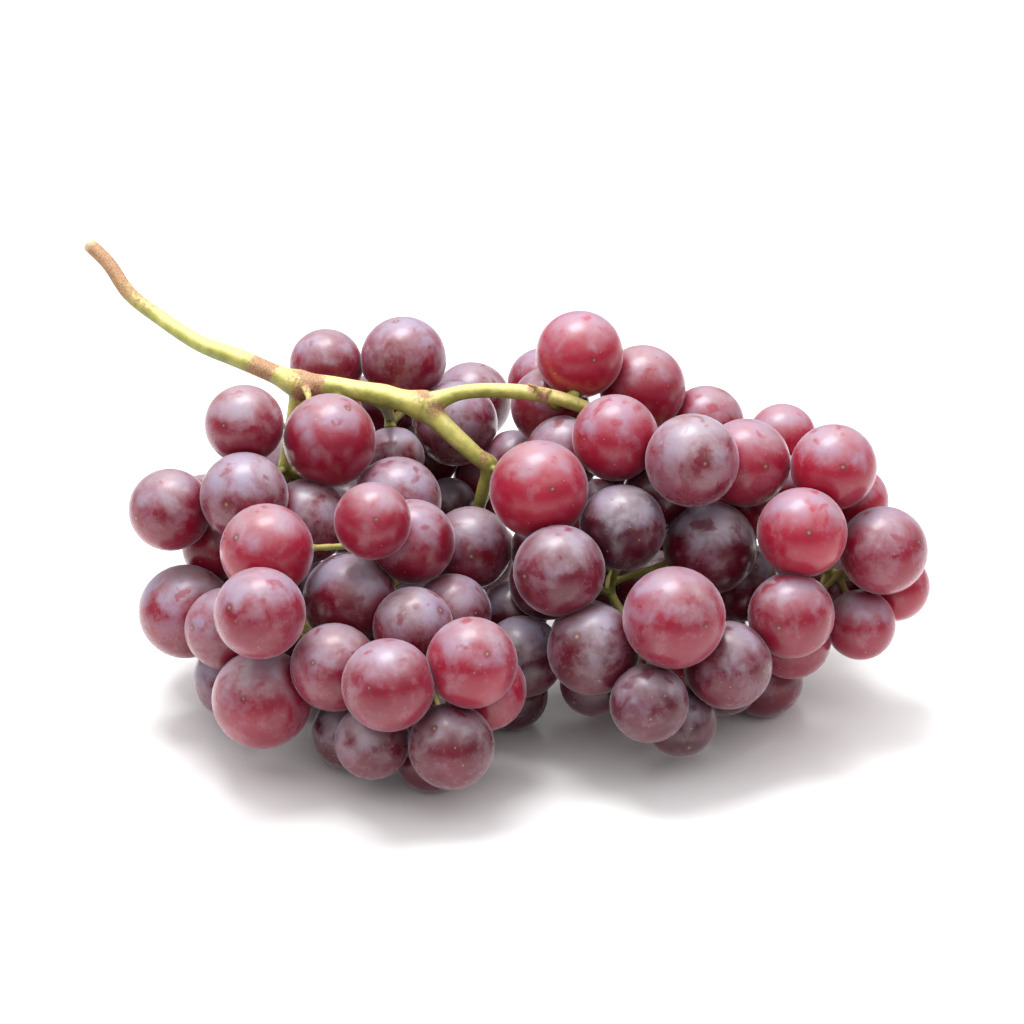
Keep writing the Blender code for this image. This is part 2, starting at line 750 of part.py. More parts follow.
def flatten_underside(thing, cutters):
    """Cuts off what lies below the table top, so the lowest berries get a small flat spot."""
    bpy.ops.mesh.primitive_cube_add(size=1.0, location=(0, 0, -CUTTER_HEIGHT / 2))
    cutter = bpy.context.object
    cutter.name = thing.name + "_floor_cutter"
    cutter.scale = (CUTTER_WIDTH, CUTTER_WIDTH, CUTTER_HEIGHT)
    for owner in list(cutter.users_collection):
        owner.objects.unlink(cutter)
    cutters.objects.link(cutter)
    cutter.hide_render = True
    cutter.display_type = "WIRE"
    cut = thing.modifiers.new("flat_spots", "BOOLEAN")
    cut.operation = "DIFFERENCE"
    cut.solver = "EXACT"
    cut.object = cutter


def build_lobe(number, centres, radii, lobe, bunch, cutters):
    """One lobe of berries, fused where they press on each other."""
    name = LOBES[number][0]
    members = np.where(lobe == number)[0]
    pieces = [add_berry(bunch, centres[own], radii[own]) for own in members]
    apart = lengths(centres[:, None] - centres[None]) / (radii[:, None] + radii[None])
    for first, second in shortest_tree(apart, list(members)):
        if apart[first, second] > PAD_OVER:
            pieces.append(add_pad(bunch, centres[first], centres[second]))
    whole = joined_as_one(name, pieces, bunch, material(name, BERRY_RED, BERRY_ROUGHNESS))
    whole.data.shade_smooth()
    flatten_underside(whole, cutters)


def parted(path, row):
    """A path in two, with the gap between parts in the middle between this row and the next."""
    middle = (path[row] + path[row + 1]) / 2
    half_gap = PART_GAP / 2 * (path[row + 1] - path[row]) / lengths(path[row + 1, :3] - path[row, :3])
    return np.vstack([path[:row + 1], middle - half_gap]), np.vstack([middle + half_gap, path[row + 1:]])


def build_stems(paths, pedicels, bunch):
    """The bare stalk as one piece, and the branches with their pedicels as another."""
    stalk, main = parted(paths[0], STALK_LAST_ROW)
    bare = add_tube(bunch, to_space(stalk[:, :3]), stalk[:, 3], STALK_ROUNDING)
    bare.name = "stalk"
    bare.data.materials.append(material("stalk", STEM_GREEN, STEM_ROUGHNESS))
    bare.data.shade_smooth()
    pieces = []
    for number, path in enumerate([main] + paths[1:]):
        sides = STALK_ROUNDING if number < ROUNDER_STEMS else BRANCH_ROUNDING
        pieces.append(add_tube(bunch, to_space(path[:, :3]), path[:, 3], sides))
    for pedicel in pedicels:
        if pedicel is not None:
            pieces.append(add_tube(bunch, pedicel, (PEDICEL_RADIUS, PEDICEL_END_RADIUS), BRANCH_ROUNDING))
    look = material("branches", STEM_GREEN, STEM_ROUGHNESS)
    joined_as_one("branches", pieces, bunch, look).data.shade_smooth()


def build():
    clear_scene()
    bunch = collection_named("bunch_of_grapes")
    cutters = collection_named("cutters")
    centres, radii, lobe, paths, pedicels = lay_out()
    build_stems(paths, pedicels, bunch)
    for number in range(len(LOBES)):
        build_lobe(number, centres, radii, lobe, bunch, cutters)


build()
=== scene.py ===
"""The looks of a bunch of red table grapes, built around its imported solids.

The tables give each berry and each stem point as an eye sees it from the front, in millimetres: across is
to the right of the middle of the view, up is above it, and ahead is nearer the eye than the middle of the
bunch. The bunch is laid out from them by the same rule as its solids, then given fine berries and stems.
"""

import math

import bpy
import numpy as np
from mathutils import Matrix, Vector, kdtree

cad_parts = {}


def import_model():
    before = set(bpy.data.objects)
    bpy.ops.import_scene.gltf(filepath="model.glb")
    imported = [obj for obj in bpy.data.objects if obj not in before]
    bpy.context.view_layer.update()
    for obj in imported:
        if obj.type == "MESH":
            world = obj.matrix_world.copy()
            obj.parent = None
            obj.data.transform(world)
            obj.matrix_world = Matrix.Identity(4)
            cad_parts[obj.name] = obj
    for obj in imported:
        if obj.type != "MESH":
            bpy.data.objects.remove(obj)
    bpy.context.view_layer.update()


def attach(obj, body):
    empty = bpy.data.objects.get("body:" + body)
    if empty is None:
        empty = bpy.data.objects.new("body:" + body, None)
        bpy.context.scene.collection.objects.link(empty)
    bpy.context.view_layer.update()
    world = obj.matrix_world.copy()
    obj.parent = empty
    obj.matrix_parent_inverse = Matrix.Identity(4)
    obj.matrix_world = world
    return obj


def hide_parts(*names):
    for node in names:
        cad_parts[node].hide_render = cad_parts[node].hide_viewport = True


MM = 0.001

# Where the eye is: how far from the middle of the bunch, how steeply it looks down, and how high it aims
EYE_DISTANCE = 600.0
EYE_TILT = math.radians(25.0)
AIM_HEIGHT = 45.0

# Moves the middle of the finished bunch over the origin
MIDDLE_ACROSS = -2.7
MIDDLE_DEEP = -1.6

# How near the middles of two berries come, as a share of both radii together: where they press on each
# other, where they don't, and in two lobes. Then the radii of hidden berries, and how deep a flat spot is
PRESSED = 0.94
CLEAR = 0.99
LOBES_CLEAR = 1.045
SMALLEST_HIDDEN = 8.6
LARGEST_HIDDEN = 9.8
FLAT_SPOT_DEPTH = 0.4
# The solids' berries reach this share past the round ones, and their pedicels have these radii and this
# length, millimetres. A pedicel is tested at many spots, and keeps hidden berries away from fewer of them
BERRY_SWELL = 1.02
PEDICEL_RADIUS = 0.75
PEDICEL_END_RADIUS = 1.3
PEDICEL_LONGEST = 30.0
PEDICEL_SPOTS = 24
FEWER_PEDICEL_SPOTS = 8
PEDICEL_STARTS = 60
PEDICELS_FROM_ACROSS = -52.0
STEM_SPACING = 2.5

# Gaps between parts that only touch: the least one, and the one aimed at between two lobes
PART_GAP = 0.3
LOBE_GAP = 0.4

# How many places are tried for each hidden berry, and how many of the best are tried for a pedicel
HIDDEN_TRIES = 2000
HIDDEN_SECOND_TRIES = 12
HIDDEN_OVER_TABLE = 1.0
STEEPEST_DROP = 0.98
NEIGHBOURS_COUNTED = 3
GAP_WORTH = 0.3
OUT_OF_REACH = 9.0
SEED = 7

# How the listed berries settle against each other: how many steps, how often the pairs that press on
# each other are chosen again, and until which step; how far each step goes at first, then in the end
SETTLE_STEPS = 700
REJOIN_EVERY = 40
REJOIN_UNTIL = 560
FIRST_PACE = 0.6
LAST_PACE = 0.35
PACE_CHANGE = 0.65
FLOOR_PACE = 0.5
SIDEWAYS_COST = 3
MOST_OUTWARD = 3
TINY = 1e-9

# How freely a berry leaves its line of sight: its share of a push, what it keeps of it, and the most in mm
SEEN_SLIP, SEEN_GRIP, SEEN_MOST = 0.08, 0.965, 0.9
GLIMPSED_SLIP, GLIMPSED_GRIP, GLIMPSED_MOST = 0.5, 0.996, 8.0

# The eye's view as a grid of square millimetres, for the bunch's outline: its half width and half height
VIEW_HALF_WIDTH = 110
VIEW_HALF_HEIGHT = 80
RIM_SPOTS = 16
COVER_MARGIN = 2.0

# Rows are across, up, radius, ahead, tone from near black at 0 to bright red at 1, and how much bloom. Where
# the scar shows, its place follows, as shares of the radius across and up. A seen berry stays on its line of
# sight, and a glimpsed one may shift
LEFT_SEEN = [
    (-59.5, 19.5, 8.8, -4, 0.55, 0.5),
    (-40.5, 16.0, 10.4, 10, 0.6, 0.3, 0.43, 0.66),
    (-76.0, 0.5, 9.2, 2, 0.45, 0.5),
    (-59.5, 3.5, 9.8, 4, 0.4, 0.7),
    (-54.5, -8.5, 10.4, 18, 0.75, 0.35, -0.58, 0.28),
    (-45.5, -2.0, 9.4, 2, 0.35, 0.7),
    (-31.0, -2.0, 8.6, 22, 0.65, 0.3, 0.15, 0.05),
    (-25.5, 2.5, 9.8, 4, 0.4, 0.7),
    (-22.0, -6.5, 9.4, 12, 0.5, 0.4),
    (-9.0, -8.0, 9.6, -6, 0.35, 0.5),
    (-36.0, -19.5, 10.6, 12, 0.4, 0.6),
    (-56.0, -22.5, 10.2, 30, 0.55, 0.5, -0.59, 0.15),
    (-72.5, -22.0, 10.4, 8, 0.5, 0.6, -0.77, -0.39),
    (-63.5, -26.0, 9.2, 18, 0.5, 0.6),
    (-55.5, -41.5, 11.2, 20, 0.55, 0.5, -0.28, 0.06),
    (-39.5, -34.5, 9.8, 28, 0.5, 0.5),
    (-27.5, -38.5, 10.4, 40, 0.52, 0.5, -0.36, 0.00),
    (-22.0, -25.5, 9.8, 24, 0.4, 0.6, 0.70, 0.43),
    (-13.0, -22.5, 9.4, 12, 0.45, 0.6, 0.62, 0.02),
    (-9.0, -33.5, 10.2, 40, 0.66, 0.45, 0.35, 0.24),
    (-6.0, -39.5, 9.2, 26, 0.7, 0.6),
    (-31.0, -51.0, 8.4, 26, 0.3, 0.6),
    (-13.5, -52.0, 9.6, 34, 0.3, 0.5, -0.37, 0.47),
    (-18.0, -54.5, 7.8, 24, 0.2, 0.4),
]
LEFT_GLIMPSED = [
    (-66.0, -8.0, 8.0, -6, 0.6, 0.4),
    (-60.0, -35.5, 9.2, 0, 0.2, 0.5),
    (-36.5, -49.0, 8.0, 14, 0.2, 0.5),
]
BACK_SEEN = [
    (-41.5, 32.5, 8.2, -30, 0.45, 0.5),
    (-24.0, 34.0, 9.6, -27, 0.45, 0.5),
    (-9.0, 24.5, 8.8, -40, 0.4, 0.5),
    (-12.5, 19.5, 9.4, -24, 0.35, 0.6),
    (-26.5, 12.0, 8.4, -18, 0.35, 0.6),
]
BACK_GLIMPSED = [
    (-38.5, 24.5, 7.8, -20, 0.4, 0.4),
    (-17.5, 14.5, 8.0, -36, 0.15, 0.3),
    (-14.0, 1.5, 6.2, -28, 0.1, 0.3),
    (0.5, 11.0, 7.2, -20, 0.3, 0.4),
    (-52.0, 6.0, 8.0, -24, 0.5, 0.4),
]
RIGHT_SEEN = [
    (15.0, 35.0, 10.0, -5, 0.88, 0.2, 0.31, -0.18),
    (29.0, 27.5, 9.6, -15, 0.65, 0.3),
    (8.5, 23.5, 8.8, -14, 0.45, 0.4),
    (11.5, 13.0, 8.4, -4, 0.4, 0.5),
    (23.0, 16.5, 9.6, 10, 0.7, 0.3, -0.74, -0.05),
    (43.0, 19.5, 8.6, -18, 0.6, 0.3),
    (6.0, 5.0, 11.0, 14, 0.85, 0.2, 0.26, 0.00),
    (40.0, 11.5, 10.4, 20, 0.45, 0.7, 0.21, -0.09),
    (52.0, 11.0, 9.8, 8, 0.7, 0.4),
    (60.0, 16.5, 7.6, -18, 0.8, 0.3),
    (71.5, 10.0, 9.6, 6, 0.8, 0.35, 0.09, -0.02),
    (64.5, -4.5, 10.0, 20, 0.85, 0.4, 0.04, 0.00),
    (82.5, -8.5, 9.8, 10, 0.55, 0.5, 0.70, 0.20),
    (77.5, -25.0, 7.8, 4, 0.6, 0.4),
    (62.0, -23.0, 9.6, 16, 0.6, 0.4),
    (24.5, -3.5, 9.6, 10, 0.12, 0.5, 0.35, -0.28),
    (44.0, -8.0, 10.4, 6, 0.2, 0.3),
    (10.5, -13.0, 10.2, 24, 0.35, 0.5, -0.76, -0.11),
    (18.0, -30.5, 10.2, 18, 0.25, 0.5, -0.37, 0.31),
    (36.0, -23.5, 11.4, 30, 0.6, 0.45, 0.57, -0.14),
    (48.0, -34.0, 9.8, 20, 0.3, 0.5),
    (30.5, -42.5, 8.8, 24, 0.2, 0.4),
    (37.5, -46.5, 8.0, 13, 0.1, 0.3),
    (2.0, -32.0, 9.2, 10, 0.1, 0.4),
]
RIGHT_GLIMPSED = [
    (7.0, 28.5, 8.0, -24, 0.55, 0.3),
    (77.0, 0.0, 7.8, -10, 0.9, 0.3),
    (85.0, -16.5, 7.8, -4, 0.8, 0.3),
    (0.0, -40.5, 8.0, 2, 0.1, 0.3),
    (18.0, -38.0, 7.4, 6, 0.1, 0.3),
    (61.0, -28.5, 8.8, 2, 0.5, 0.4),
    (56.0, -37.0, 8.6, -7, 0.3, 0.4),
    (47.5, -37.5, 7.4, 2, 0.15, 0.3),
    (62.5, 6.0, 6.6, -12, 0.5, 0.3),
    (52.0, 1.5, 8.0, -6, 0.7, 0.3),
    (51.0, -16.0, 8.4, -4, 0.3, 0.3),
    (32.0, 5.0, 7.8, -2, 0.2, 0.3),
    (-1.5, -20.0, 7.4, -4, 0.1, 0.3),
    (7.5, -16.0, 8.4, 8, 0.1, 0.3),
    (-1.0, -8.0, 7.2, -22, 0.15, 0.3),
]

# Each lobe's node name, its berries, how many hidden ones fill it out behind, and where their middles may
# lie: the middle of an egg shape over the table and its half widths, as across, deep (away from the eye)
# and high
LOBES = [
    ("berries_left", LEFT_SEEN, LEFT_GLIMPSED, 17, (-46.0, -4.0, 30.0), (36.0, 40.0, 28.0)),
    ("berries_back", BACK_SEEN, BACK_GLIMPSED, 10, (-24.0, 32.0, 38.0), (28.0, 24.0, 32.0)),
    ("berries_right", RIGHT_SEEN, RIGHT_GLIMPSED, 22, (44.0, 2.0, 38.0), (44.0, 36.0, 36.0)),
]

# Stems: rows are across, up, ahead, thickness. The first is the main stalk, from its cut end to the fork
STALK = [
    (-94.0, 59.5, -22, 3.8),
    (-89.5, 55.0, -20, 3.8),
    (-85.0, 48.5, -18, 3.9),
    (-78.0, 43.0, -16, 4.0),
    (-69.5, 37.5, -13, 4.3),
    (-60.5, 34.0, -10, 5.0),
    (-53.5, 31.0, -8, 5.0),
    (-47.5, 28.5, -6, 5.8),
    (-40.5, 28.0, -4, 5.2),
    (-29.5, 26.0, -3, 5.2),
    (-19.5, 23.5, -2, 5.6),
]
RIGHT_BRANCH = [
    (-19.5, 23.5, -2, 5.0),
    (-11.5, 26.5, -1, 3.8),
    (-2.5, 27.0, 1, 3.8),
    (7.0, 26.0, 2, 3.9),
    (15.5, 23.5, 1, 3.6),
    (24.0, 18.5, -6, 3.4),
    (32.0, 12.5, -10, 3.2),
    (45.0, 4.0, -14, 3.0),
    (55.0, -5.0, -12, 2.8),
    (64.0, -11.0, -6, 2.6),
    (72.5, -14.0, -2, 2.4),
]
MIDDLE_BRANCH = [
    (-19.5, 23.5, -2, 5.0),
    (-14.0, 18.0, -2, 4.9),
    (-8.0, 12.5, -3, 4.4),
    (-5.0, 10.0, -5, 4.2),
    (-6.5, 4.5, -9, 3.4),
    (-8.0, -2.0, -14, 3.0),
    (-11.0, -12.0, -16, 2.8),
    (-16.0, -22.0, -12, 2.6),
]
LEFT_BRANCH = [
    (-47.0, 28.0, -7, 4.5),
    (-48.5, 21.5, -8, 3.6),
    (-50.5, 9.5, -9, 3.2),
    (-50.5, -2.0, -13, 3.0),
    (-49.5, -14.0, -12, 2.8),
    (-45.0, -26.0, -2, 2.6),
    (-36.0, -34.0, 8, 2.4),
    (-25.0, -37.0, 14, 2.4),
    (-15.6, -34.2, 25, 2.2),
]
SIDE_BRANCH = [
    (-50.5, -2.0, -13, 2.6),
    (-60.0, -8.0, -16, 2.4),
    (-68.0, -12.0, -10, 2.2),
]
UPPER_BRANCH = [
    (-50.5, 9.5, -9, 2.6),
    (-41.0, 5.0, -12, 2.4),
    (-34.0, -5.0, -8, 2.2),
    (-34.5, -7.5, 15, 2.0),
]
INNER_BRANCH = [
    (-34.0, -5.0, -8, 2.2),
    (-27.0, -14.0, 0, 2.0),
]
BACK_BRANCH = [
    (-28.5, 25.5, -4, 4.0),
    (-27.5, 22.0, -12, 3.0),
    (-27.0, 20.0, -24, 2.8),
    (-26.0, 10.0, -34, 2.4),
]
REAR_BRANCH = [
    (-27.0, 20.0, -24, 2.4),
    (-20.0, 26.0, -36, 2.0),
]
LOW_BRANCH = [
    (28.5, 15.0, -9, 3.0),
    (26.5, 2.5, -14, 2.8),
    (24.0, -10.5, -8, 2.6),
    (22.0, -18.0, 2, 2.4),
    (30.5, -30.5, 4, 2.2),
]
FAR_BRANCH = [
    (45.0, 4.0, -14, 2.8),
    (46.5, -8.5, -17, 2.6),
    (48.0, -20.0, -14, 2.4),
]
BRANCHES = [RIGHT_BRANCH, MIDDLE_BRANCH, LEFT_BRANCH, SIDE_BRANCH, UPPER_BRANCH, INNER_BRANCH, BACK_BRANCH,
            REAR_BRANCH, LOW_BRANCH, FAR_BRANCH]

# Berry shapes: rings and segments, and how much closer the rings are at both ends. A scar that points up
# more than the share has its rings turned from a level line instead
BERRY_RINGS = 36
BERRY_SEGMENTS = 44
RING_GATHERING = 0.7
NEARLY_UPRIGHT = 0.8

# Small relief on a berry, millimetres, and shares of its radius. A wobble is a wave over the whole berry
FULLNESS = 1.01
WOBBLES = 3
WOBBLE_WAVES = (1.5, 3.0)
WOBBLE_SHARE = 0.006
PEDICEL_DENT = 0.5
PEDICEL_DENT_WIDTH = 1.9
SCAR_DENT = 0.1
SCAR_DENT_WIDTH = 1.3
SCAR_RIM = 0.07
SCAR_RIM_AT = 0.62
SCAR_RIM_WIDTH = 0.22
SCAR_TIP = 0.1
SCAR_TIP_WIDTH = 0.25
PRESS_GAP = 0.02
PRESS_ROUNDING = 0.12
LEAST_TOWARD = 0.05
NO_LIMIT = 99.0
FLOOR_GAP = 0.02

# Looks of the hidden berries, and how far a scar may lie off the side opposite the pedicel
HIDDEN_TONE = (0.2, 0.6)
HIDDEN_BLOOM = (0.35, 0.65)
SCAR_TILT = 0.12
SCAR_SPREAD = (0.8, 1.5)
SPREAD_OUT = 400.0
LOOKS_SEED = 11

# Stem shapes, millimetres, and as shares how much slimmer than its solid a branch is and how deep the ridges
# run. Rows of waves give how many there are round a tube, and how strong they are
STEM_STEP = 0.8
STEM_SLIMMER = 0.92
STEM_RIDGES = 0.035
PEDICEL_RIDGES = 0.02
STUB_RIDGES = 0.1
RIDGE_WAVES = [(5, 0.6), (3, 0.4)]
TUBE_SIDES = 20
FIRST_SIDE = np.array([0.31, 0.42, 0.85])
STEM_VOXEL = 0.3
STEM_EVENING = 0.5
STEM_EVENED_TIMES = 3
STEM_KEPT_FACES = 0.54
PEDICEL_STEP = 0.5
FEWEST_PEDICEL_RINGS = 8
PEDICEL_SUNK = 0.25
BASE_SWELLING = 0.35
BASE_LENGTH = 1.6
SEAT_RADIUS = 1.6
SEAT_LENGTH = 0.9
UNEVEN_SHARE = 0.06
UNEVEN_PACE = 1.7
JOINT_SWELLING = 0.18
JOINT_REACH = 1.4
KNUCKLES = [
    ((-47.5, 28.5, -6), 0.12, 3.0),
    ((-19.5, 23.5, -2), 0.1, 3.0),
    ((-5.0, 10.0, -5), 0.15, 2.2),
]
STUBS = [
    [(-46.0, 27.6, -2.5, 2.0), (-45.2, 25.6, -1.2, 1.6), (-45.6, 24.2, -0.6, 0.8)],
    [(6.6, 25.8, 3.0, 1.6), (5.4, 27.6, 4.2, 1.2), (3.4, 28.4, 4.6, 0.8)],
    [(7.6, 25.6, 3.0, 1.6), (8.4, 27.4, 4.0, 1.0)],
]

# Brown places on the stem: where, how strong, and how wide
BROWN_SPOTS = [
    ((-55.0, 32.3, -8), 0.9, 4.6),
    ((-46.0, 32.0, -4), 0.65, 5.0),
    ((-44.4, 28.8, -4), 1.0, 3.8),
    ((-46.5, 26.0, -4), 0.9, 3.2),
    ((-47.5, 22.0, -7), 0.6, 2.5),
    ((-19.6, 25.4, -1), 0.8, 3.0),
    ((-17.4, 23.2, -1), 0.85, 3.0),
    ((-6.8, 12.0, -4), 0.85, 3.2),
    ((14.5, 24.0, 2), 0.5, 2.0),
    ((6.8, 26.0, 3), 1.0, 1.8),
    ((4.5, 28.0, 4), 1.0, 1.6),
]
END_BROWN = 0.8
END_BROWN_LENGTH = 26.0
CUT_END_SIZE = 3.0

# Colours, as linear red, green and blue
SKIN_COLOURS = [
    (0.0, (0.045, 0.003, 0.011)),
    (0.3, (0.140, 0.004, 0.018)),
    (0.55, (0.260, 0.005, 0.027)),
    (0.8, (0.350, 0.007, 0.033)),
    (1.0, (0.420, 0.013, 0.037)),
]
BLOOM_COLOURS = [
    (0.35, (0.43, 0.39, 0.43)),
    (0.65, (0.36, 0.36, 0.48)),
]
PALE_SPOT = (0.62, 0.40, 0.36)
SCAR_RING = (0.10, 0.03, 0.025)
SCAR_MIDDLE = (0.45, 0.27, 0.16)
COLLAR_COLOUR = (0.30, 0.22, 0.08)
# The stem's colours, from dark olive to pale yellow, are partly its own and partly painted light: paler on
# top, darker underneath
STEM_COLOURS_AND_PAINTED_LIGHT = [
    (0.1, (0.16, 0.19, 0.03)),
    (0.4, (0.34, 0.36, 0.07)),
    (0.62, (0.60, 0.56, 0.15)),
    (0.85, (0.78, 0.72, 0.32)),
]
PEDICEL_GREEN = (0.24, 0.27, 0.05)
STEM_DULL = (0.34, 0.24, 0.08)
STEM_BLUSH = (0.58, 0.30, 0.09)
BROWN_COLOURS = [
    (0.0, (0.17, 0.07, 0.045)),
    (0.5, (0.40, 0.19, 0.11)),
    (1.0, (0.62, 0.38, 0.23)),
]
FRECKLE = (0.20, 0.10, 0.03)
CUT_COLOUR = (0.66, 0.52, 0.34)
FLOOR_COLOUR = (0.93, 0.93, 0.93, 1.0)

# Noise, as its scale in waves a millimetre, its detail, then its roughness and distortion
SKIN_WIDE = (0.085, 2.0)
SKIN_CLOUDY = (0.17, 3.0, 0.5, 0.3)
SKIN_MOTTLED = (0.8, 4.0, 0.6)
SKIN_GRAINY = (3.2, 3.0, 0.7)
MARKS_NOISE = (0.26, 2.0, 0.45, 0.3)
BARK_CLOUDY = (0.22, 3.0, 0.6)
BARK_FINE = (1.1, 4.0, 0.65)
BARK_GRAINY = (4.0, 3.0, 0.7)

# How the skin's tone changes over a berry, then how the bloom lies: the noise level it starts at, how much a
# berry's own bloom lowers that, and how wide its edge is. A row of four is a smooth change: from this number
# to that one, the share goes from the third to the fourth
TONE_CHANGE = 0.5
TONE_MOTTLE = 0.22
WORN_CLOUDY = 0.72
WORN_MOTTLED = 0.28
BLOOM_LEVEL = 0.58
BLOOM_SPAN = 0.34
BLOOM_EDGE = 0.26
BLOOM_GRAIN = (0.3, 0.7, 0.72, 1.0)
BLOOM_THICKNESS = (0.0, 1.0, 0.28, 0.5)
BLOOM_AT_SCAR = (0.6, 2.0, 0.35, 1.0)
# Partly bloom and partly painted light: the bloom is thinned underneath, a painted shade that leaves the skin
# darker and redder there, and thickened on top
BLOOM_AND_PAINTED_LIGHT_FACING_UP = (-0.7, 0.9, 0.35, 1.2)
# A pale film painted over the tops of the berries and broken up by cloudy noise: a painted sheen from the
# light overhead
PAINTED_SHEEN_CLOUDY = 1.3
PAINTED_TOP_SHEEN = (0.2, 1.0, 0.0, 0.56)
BLOOM_AT_MARKS = (0.6, 0.72, 1.0, 0.3)
# Painted shade between berries: within this reach of another berry, in millimetres, the pale bloom thins to
# this share, so the skin looks darker there
BESIDE_REACH = 3.5
BLOOM_LEFT_IN_PAINTED_SHADE = 0.12

# Pale specks on a berry: how close together they may be, the share left out, and how strong they are
PALE_SPOTS = [
    (0.42, 0.5, 0.6),
    (0.9, 0.75, 0.35),
]
PALE_SPOT_EDGE = (0.03, 0.1)

# Colour round a berry's scar and its pedicel, by the distance in millimetres
SCAR_UNEVEN = 0.5
RING_INSIDE = (0.25, 0.5, 0.0, 1.0)
RING_OUTSIDE = (0.55, 1.2, 0.6, 0.0)
SCAR_MIDDLE_EDGE = (0.1, 0.45, 0.7, 0.0)
COLLAR_EDGE = (1.2, 2.6, 0.6, 0.0)

# How the skin shines, how deep light goes into it, and its small relief: its depth in metres and its strength
SKIN_SHADER = {
    "Subsurface Weight": 0.5,
    "Subsurface Radius": (1.0, 0.08, 0.08),
    "Subsurface Scale": 0.008,
    "IOR": 1.45,
    "Coat Weight": 0.35,
    "Coat Roughness": 0.22,
    "Sheen Weight": 0.5,
    "Sheen Roughness": 0.3,
    "Sheen Tint": (0.86, 0.78, 0.92, 1.0),
}
SKIN_ROUGHNESS = (0.0, 0.5, 0.26, 0.42)
SKIN_RELIEF = (0.00006, 0.5)

# The same for the bark, and where each of its colours begins and how strong it is
# How much facing up paints the stem paler, a painted highlight, and how much cloudy noise changes it
PAINTED_HIGHLIGHT_UPWARD = 0.35
PALER_CLOUDY = 0.9
PEDICEL_GREEN_SHARE = 0.6
DULL_EDGE = (0.5, 0.75)
DULL_SHARE = 0.35
BLUSH_UPWARD = (0.55, 0.95)
BLUSH_CLOUDY = (0.42, 0.58)
BLUSH_SHARE = 0.55
BROWN_UNEVEN = 0.9
BROWN_EDGE = (0.3, 0.62)
BROWN_GRAIN = (0.3, 0.7)
BROWN_SHARE = 0.9
FRECKLE_SCALE = 0.9
FRECKLE_EDGE = (0.05, 0.16, 0.35, 0.0)
CUT_EDGE = (0.1, 0.5)
BARK_SHADER = {
    "Subsurface Weight": 0.2,
    "Subsurface Radius": (1.0, 0.8, 0.25),
    "Subsurface Scale": 0.0009,
    "Coat Weight": 0.08,
    "Coat Roughness": 0.3,
}
BARK_ROUGHNESS = (0.0, 1.0, 0.42, 0.75)
BARK_RELIEF = (0.00022, 0.7)

# The studio: sizes in millimetres for the camera, and metres and watts for the rest. The surround's light
# grows from the third number to the fourth as a look goes from the first number to the second, 1 straight up
SENSOR = 36.0
PICTURE_WIDTH = 227.55
SURROUND_RISE = (0.15, 0.85, 0.25, 1.64)
FLOOR_ROUGHNESS = 0.18
FLOOR_HALF = 12.0
FLOOR_DROP = 0.0001
LAMP_PLACE = (-0.06, 0.12, 0.72)
LAMP_TARGET = (0.0, 0.0, 0.03)
LAMP_WIDTH = 0.36
LAMP_HEIGHT = 0.26
LAMP_POWER = 4.4

# The eye's own axes in the object's frame, as rows: to its right, upward, and toward it
EYE_AXES = np.array([
    [1.0, 0.0, 0.0],
    [0.0, math.sin(EYE_TILT), math.cos(EYE_TILT)],
    [0.0, -math.cos(EYE_TILT), math.sin(EYE_TILT)],
])
AIM = np.array([0.0, 0.0, AIM_HEIGHT])


def turned(points, axes):
    """The sum of three axes, each as long as the point's own number for it."""
    return points[..., 0:1] * axes[0] + points[..., 1:2] * axes[1] + points[..., 2:3] * axes[2]


def to_space(points):
    """Points in the eye's axes, given as places in the object's frame, millimetres."""
    return AIM + turned(points, EYE_AXES)


def to_eye(points):
    return turned(points - AIM, EYE_AXES.T)


def shrink_at(ahead):
    """How much smaller than at the middle of the bunch a thing is, for it to look the same size."""
    return (EYE_DISTANCE - ahead) / EYE_DISTANCE


def in_view(points):
    """Where the eye sees points, across and up, with their shrinking and how far ahead they are."""
    eye = to_eye(points)
    scale = shrink_at(eye[..., 2])
    return eye[..., :2] / scale[..., None], scale, eye[..., 2]


def lengths(vectors):
    return np.sqrt((vectors ** 2).sum(axis=-1))


def unit(vectors):
    return vectors / lengths(vectors)[..., None]


def stem_path(rows):
    """Stem rows as points in the eye's axes, with a radius each."""
    table = np.array(rows, float)
    scale = shrink_at(table[:, 2])
    return np.column_stack([table[:, 0] * scale, table[:, 1] * scale, table[:, 2], table[:, 3] / 2])


def spaced(path, spacing):
    """The same path with points no further apart than the spacing."""
    rows = []
    for start, end in zip(path[:-1], path[1:]):
        pieces = max(1, math.ceil(lengths(end[:3] - start[:3]) / spacing))
        for piece in range(pieces):
            rows.append(start + (end - start) * piece / pieces)
    rows.append(path[-1])
    return np.array(rows)


def shortest_tree(cost, members):
    """Pairs that join all the members at the least cost."""
    joined = [members[0]]
    waiting = list(members[1:])
    pairs = []
    while waiting:
        block = cost[np.ix_(joined, waiting)]
        row, column = np.unravel_index(np.argmin(block), block.shape)
        pairs.append((joined[row], waiting[column]))
        joined.append(waiting.pop(column))
    return pairs


def seen_table():
    """All the berries of the given tables, each row with its lobe and whether it is only glimpsed."""
    rows = []
    for lobe, (_, seen, glimpsed, _, _, _) in enumerate(LOBES):
        rows += [row[:4] + (lobe, 0) for row in seen]
        rows += [row[:4] + (lobe, 1) for row in glimpsed]
    return np.array(rows, float)


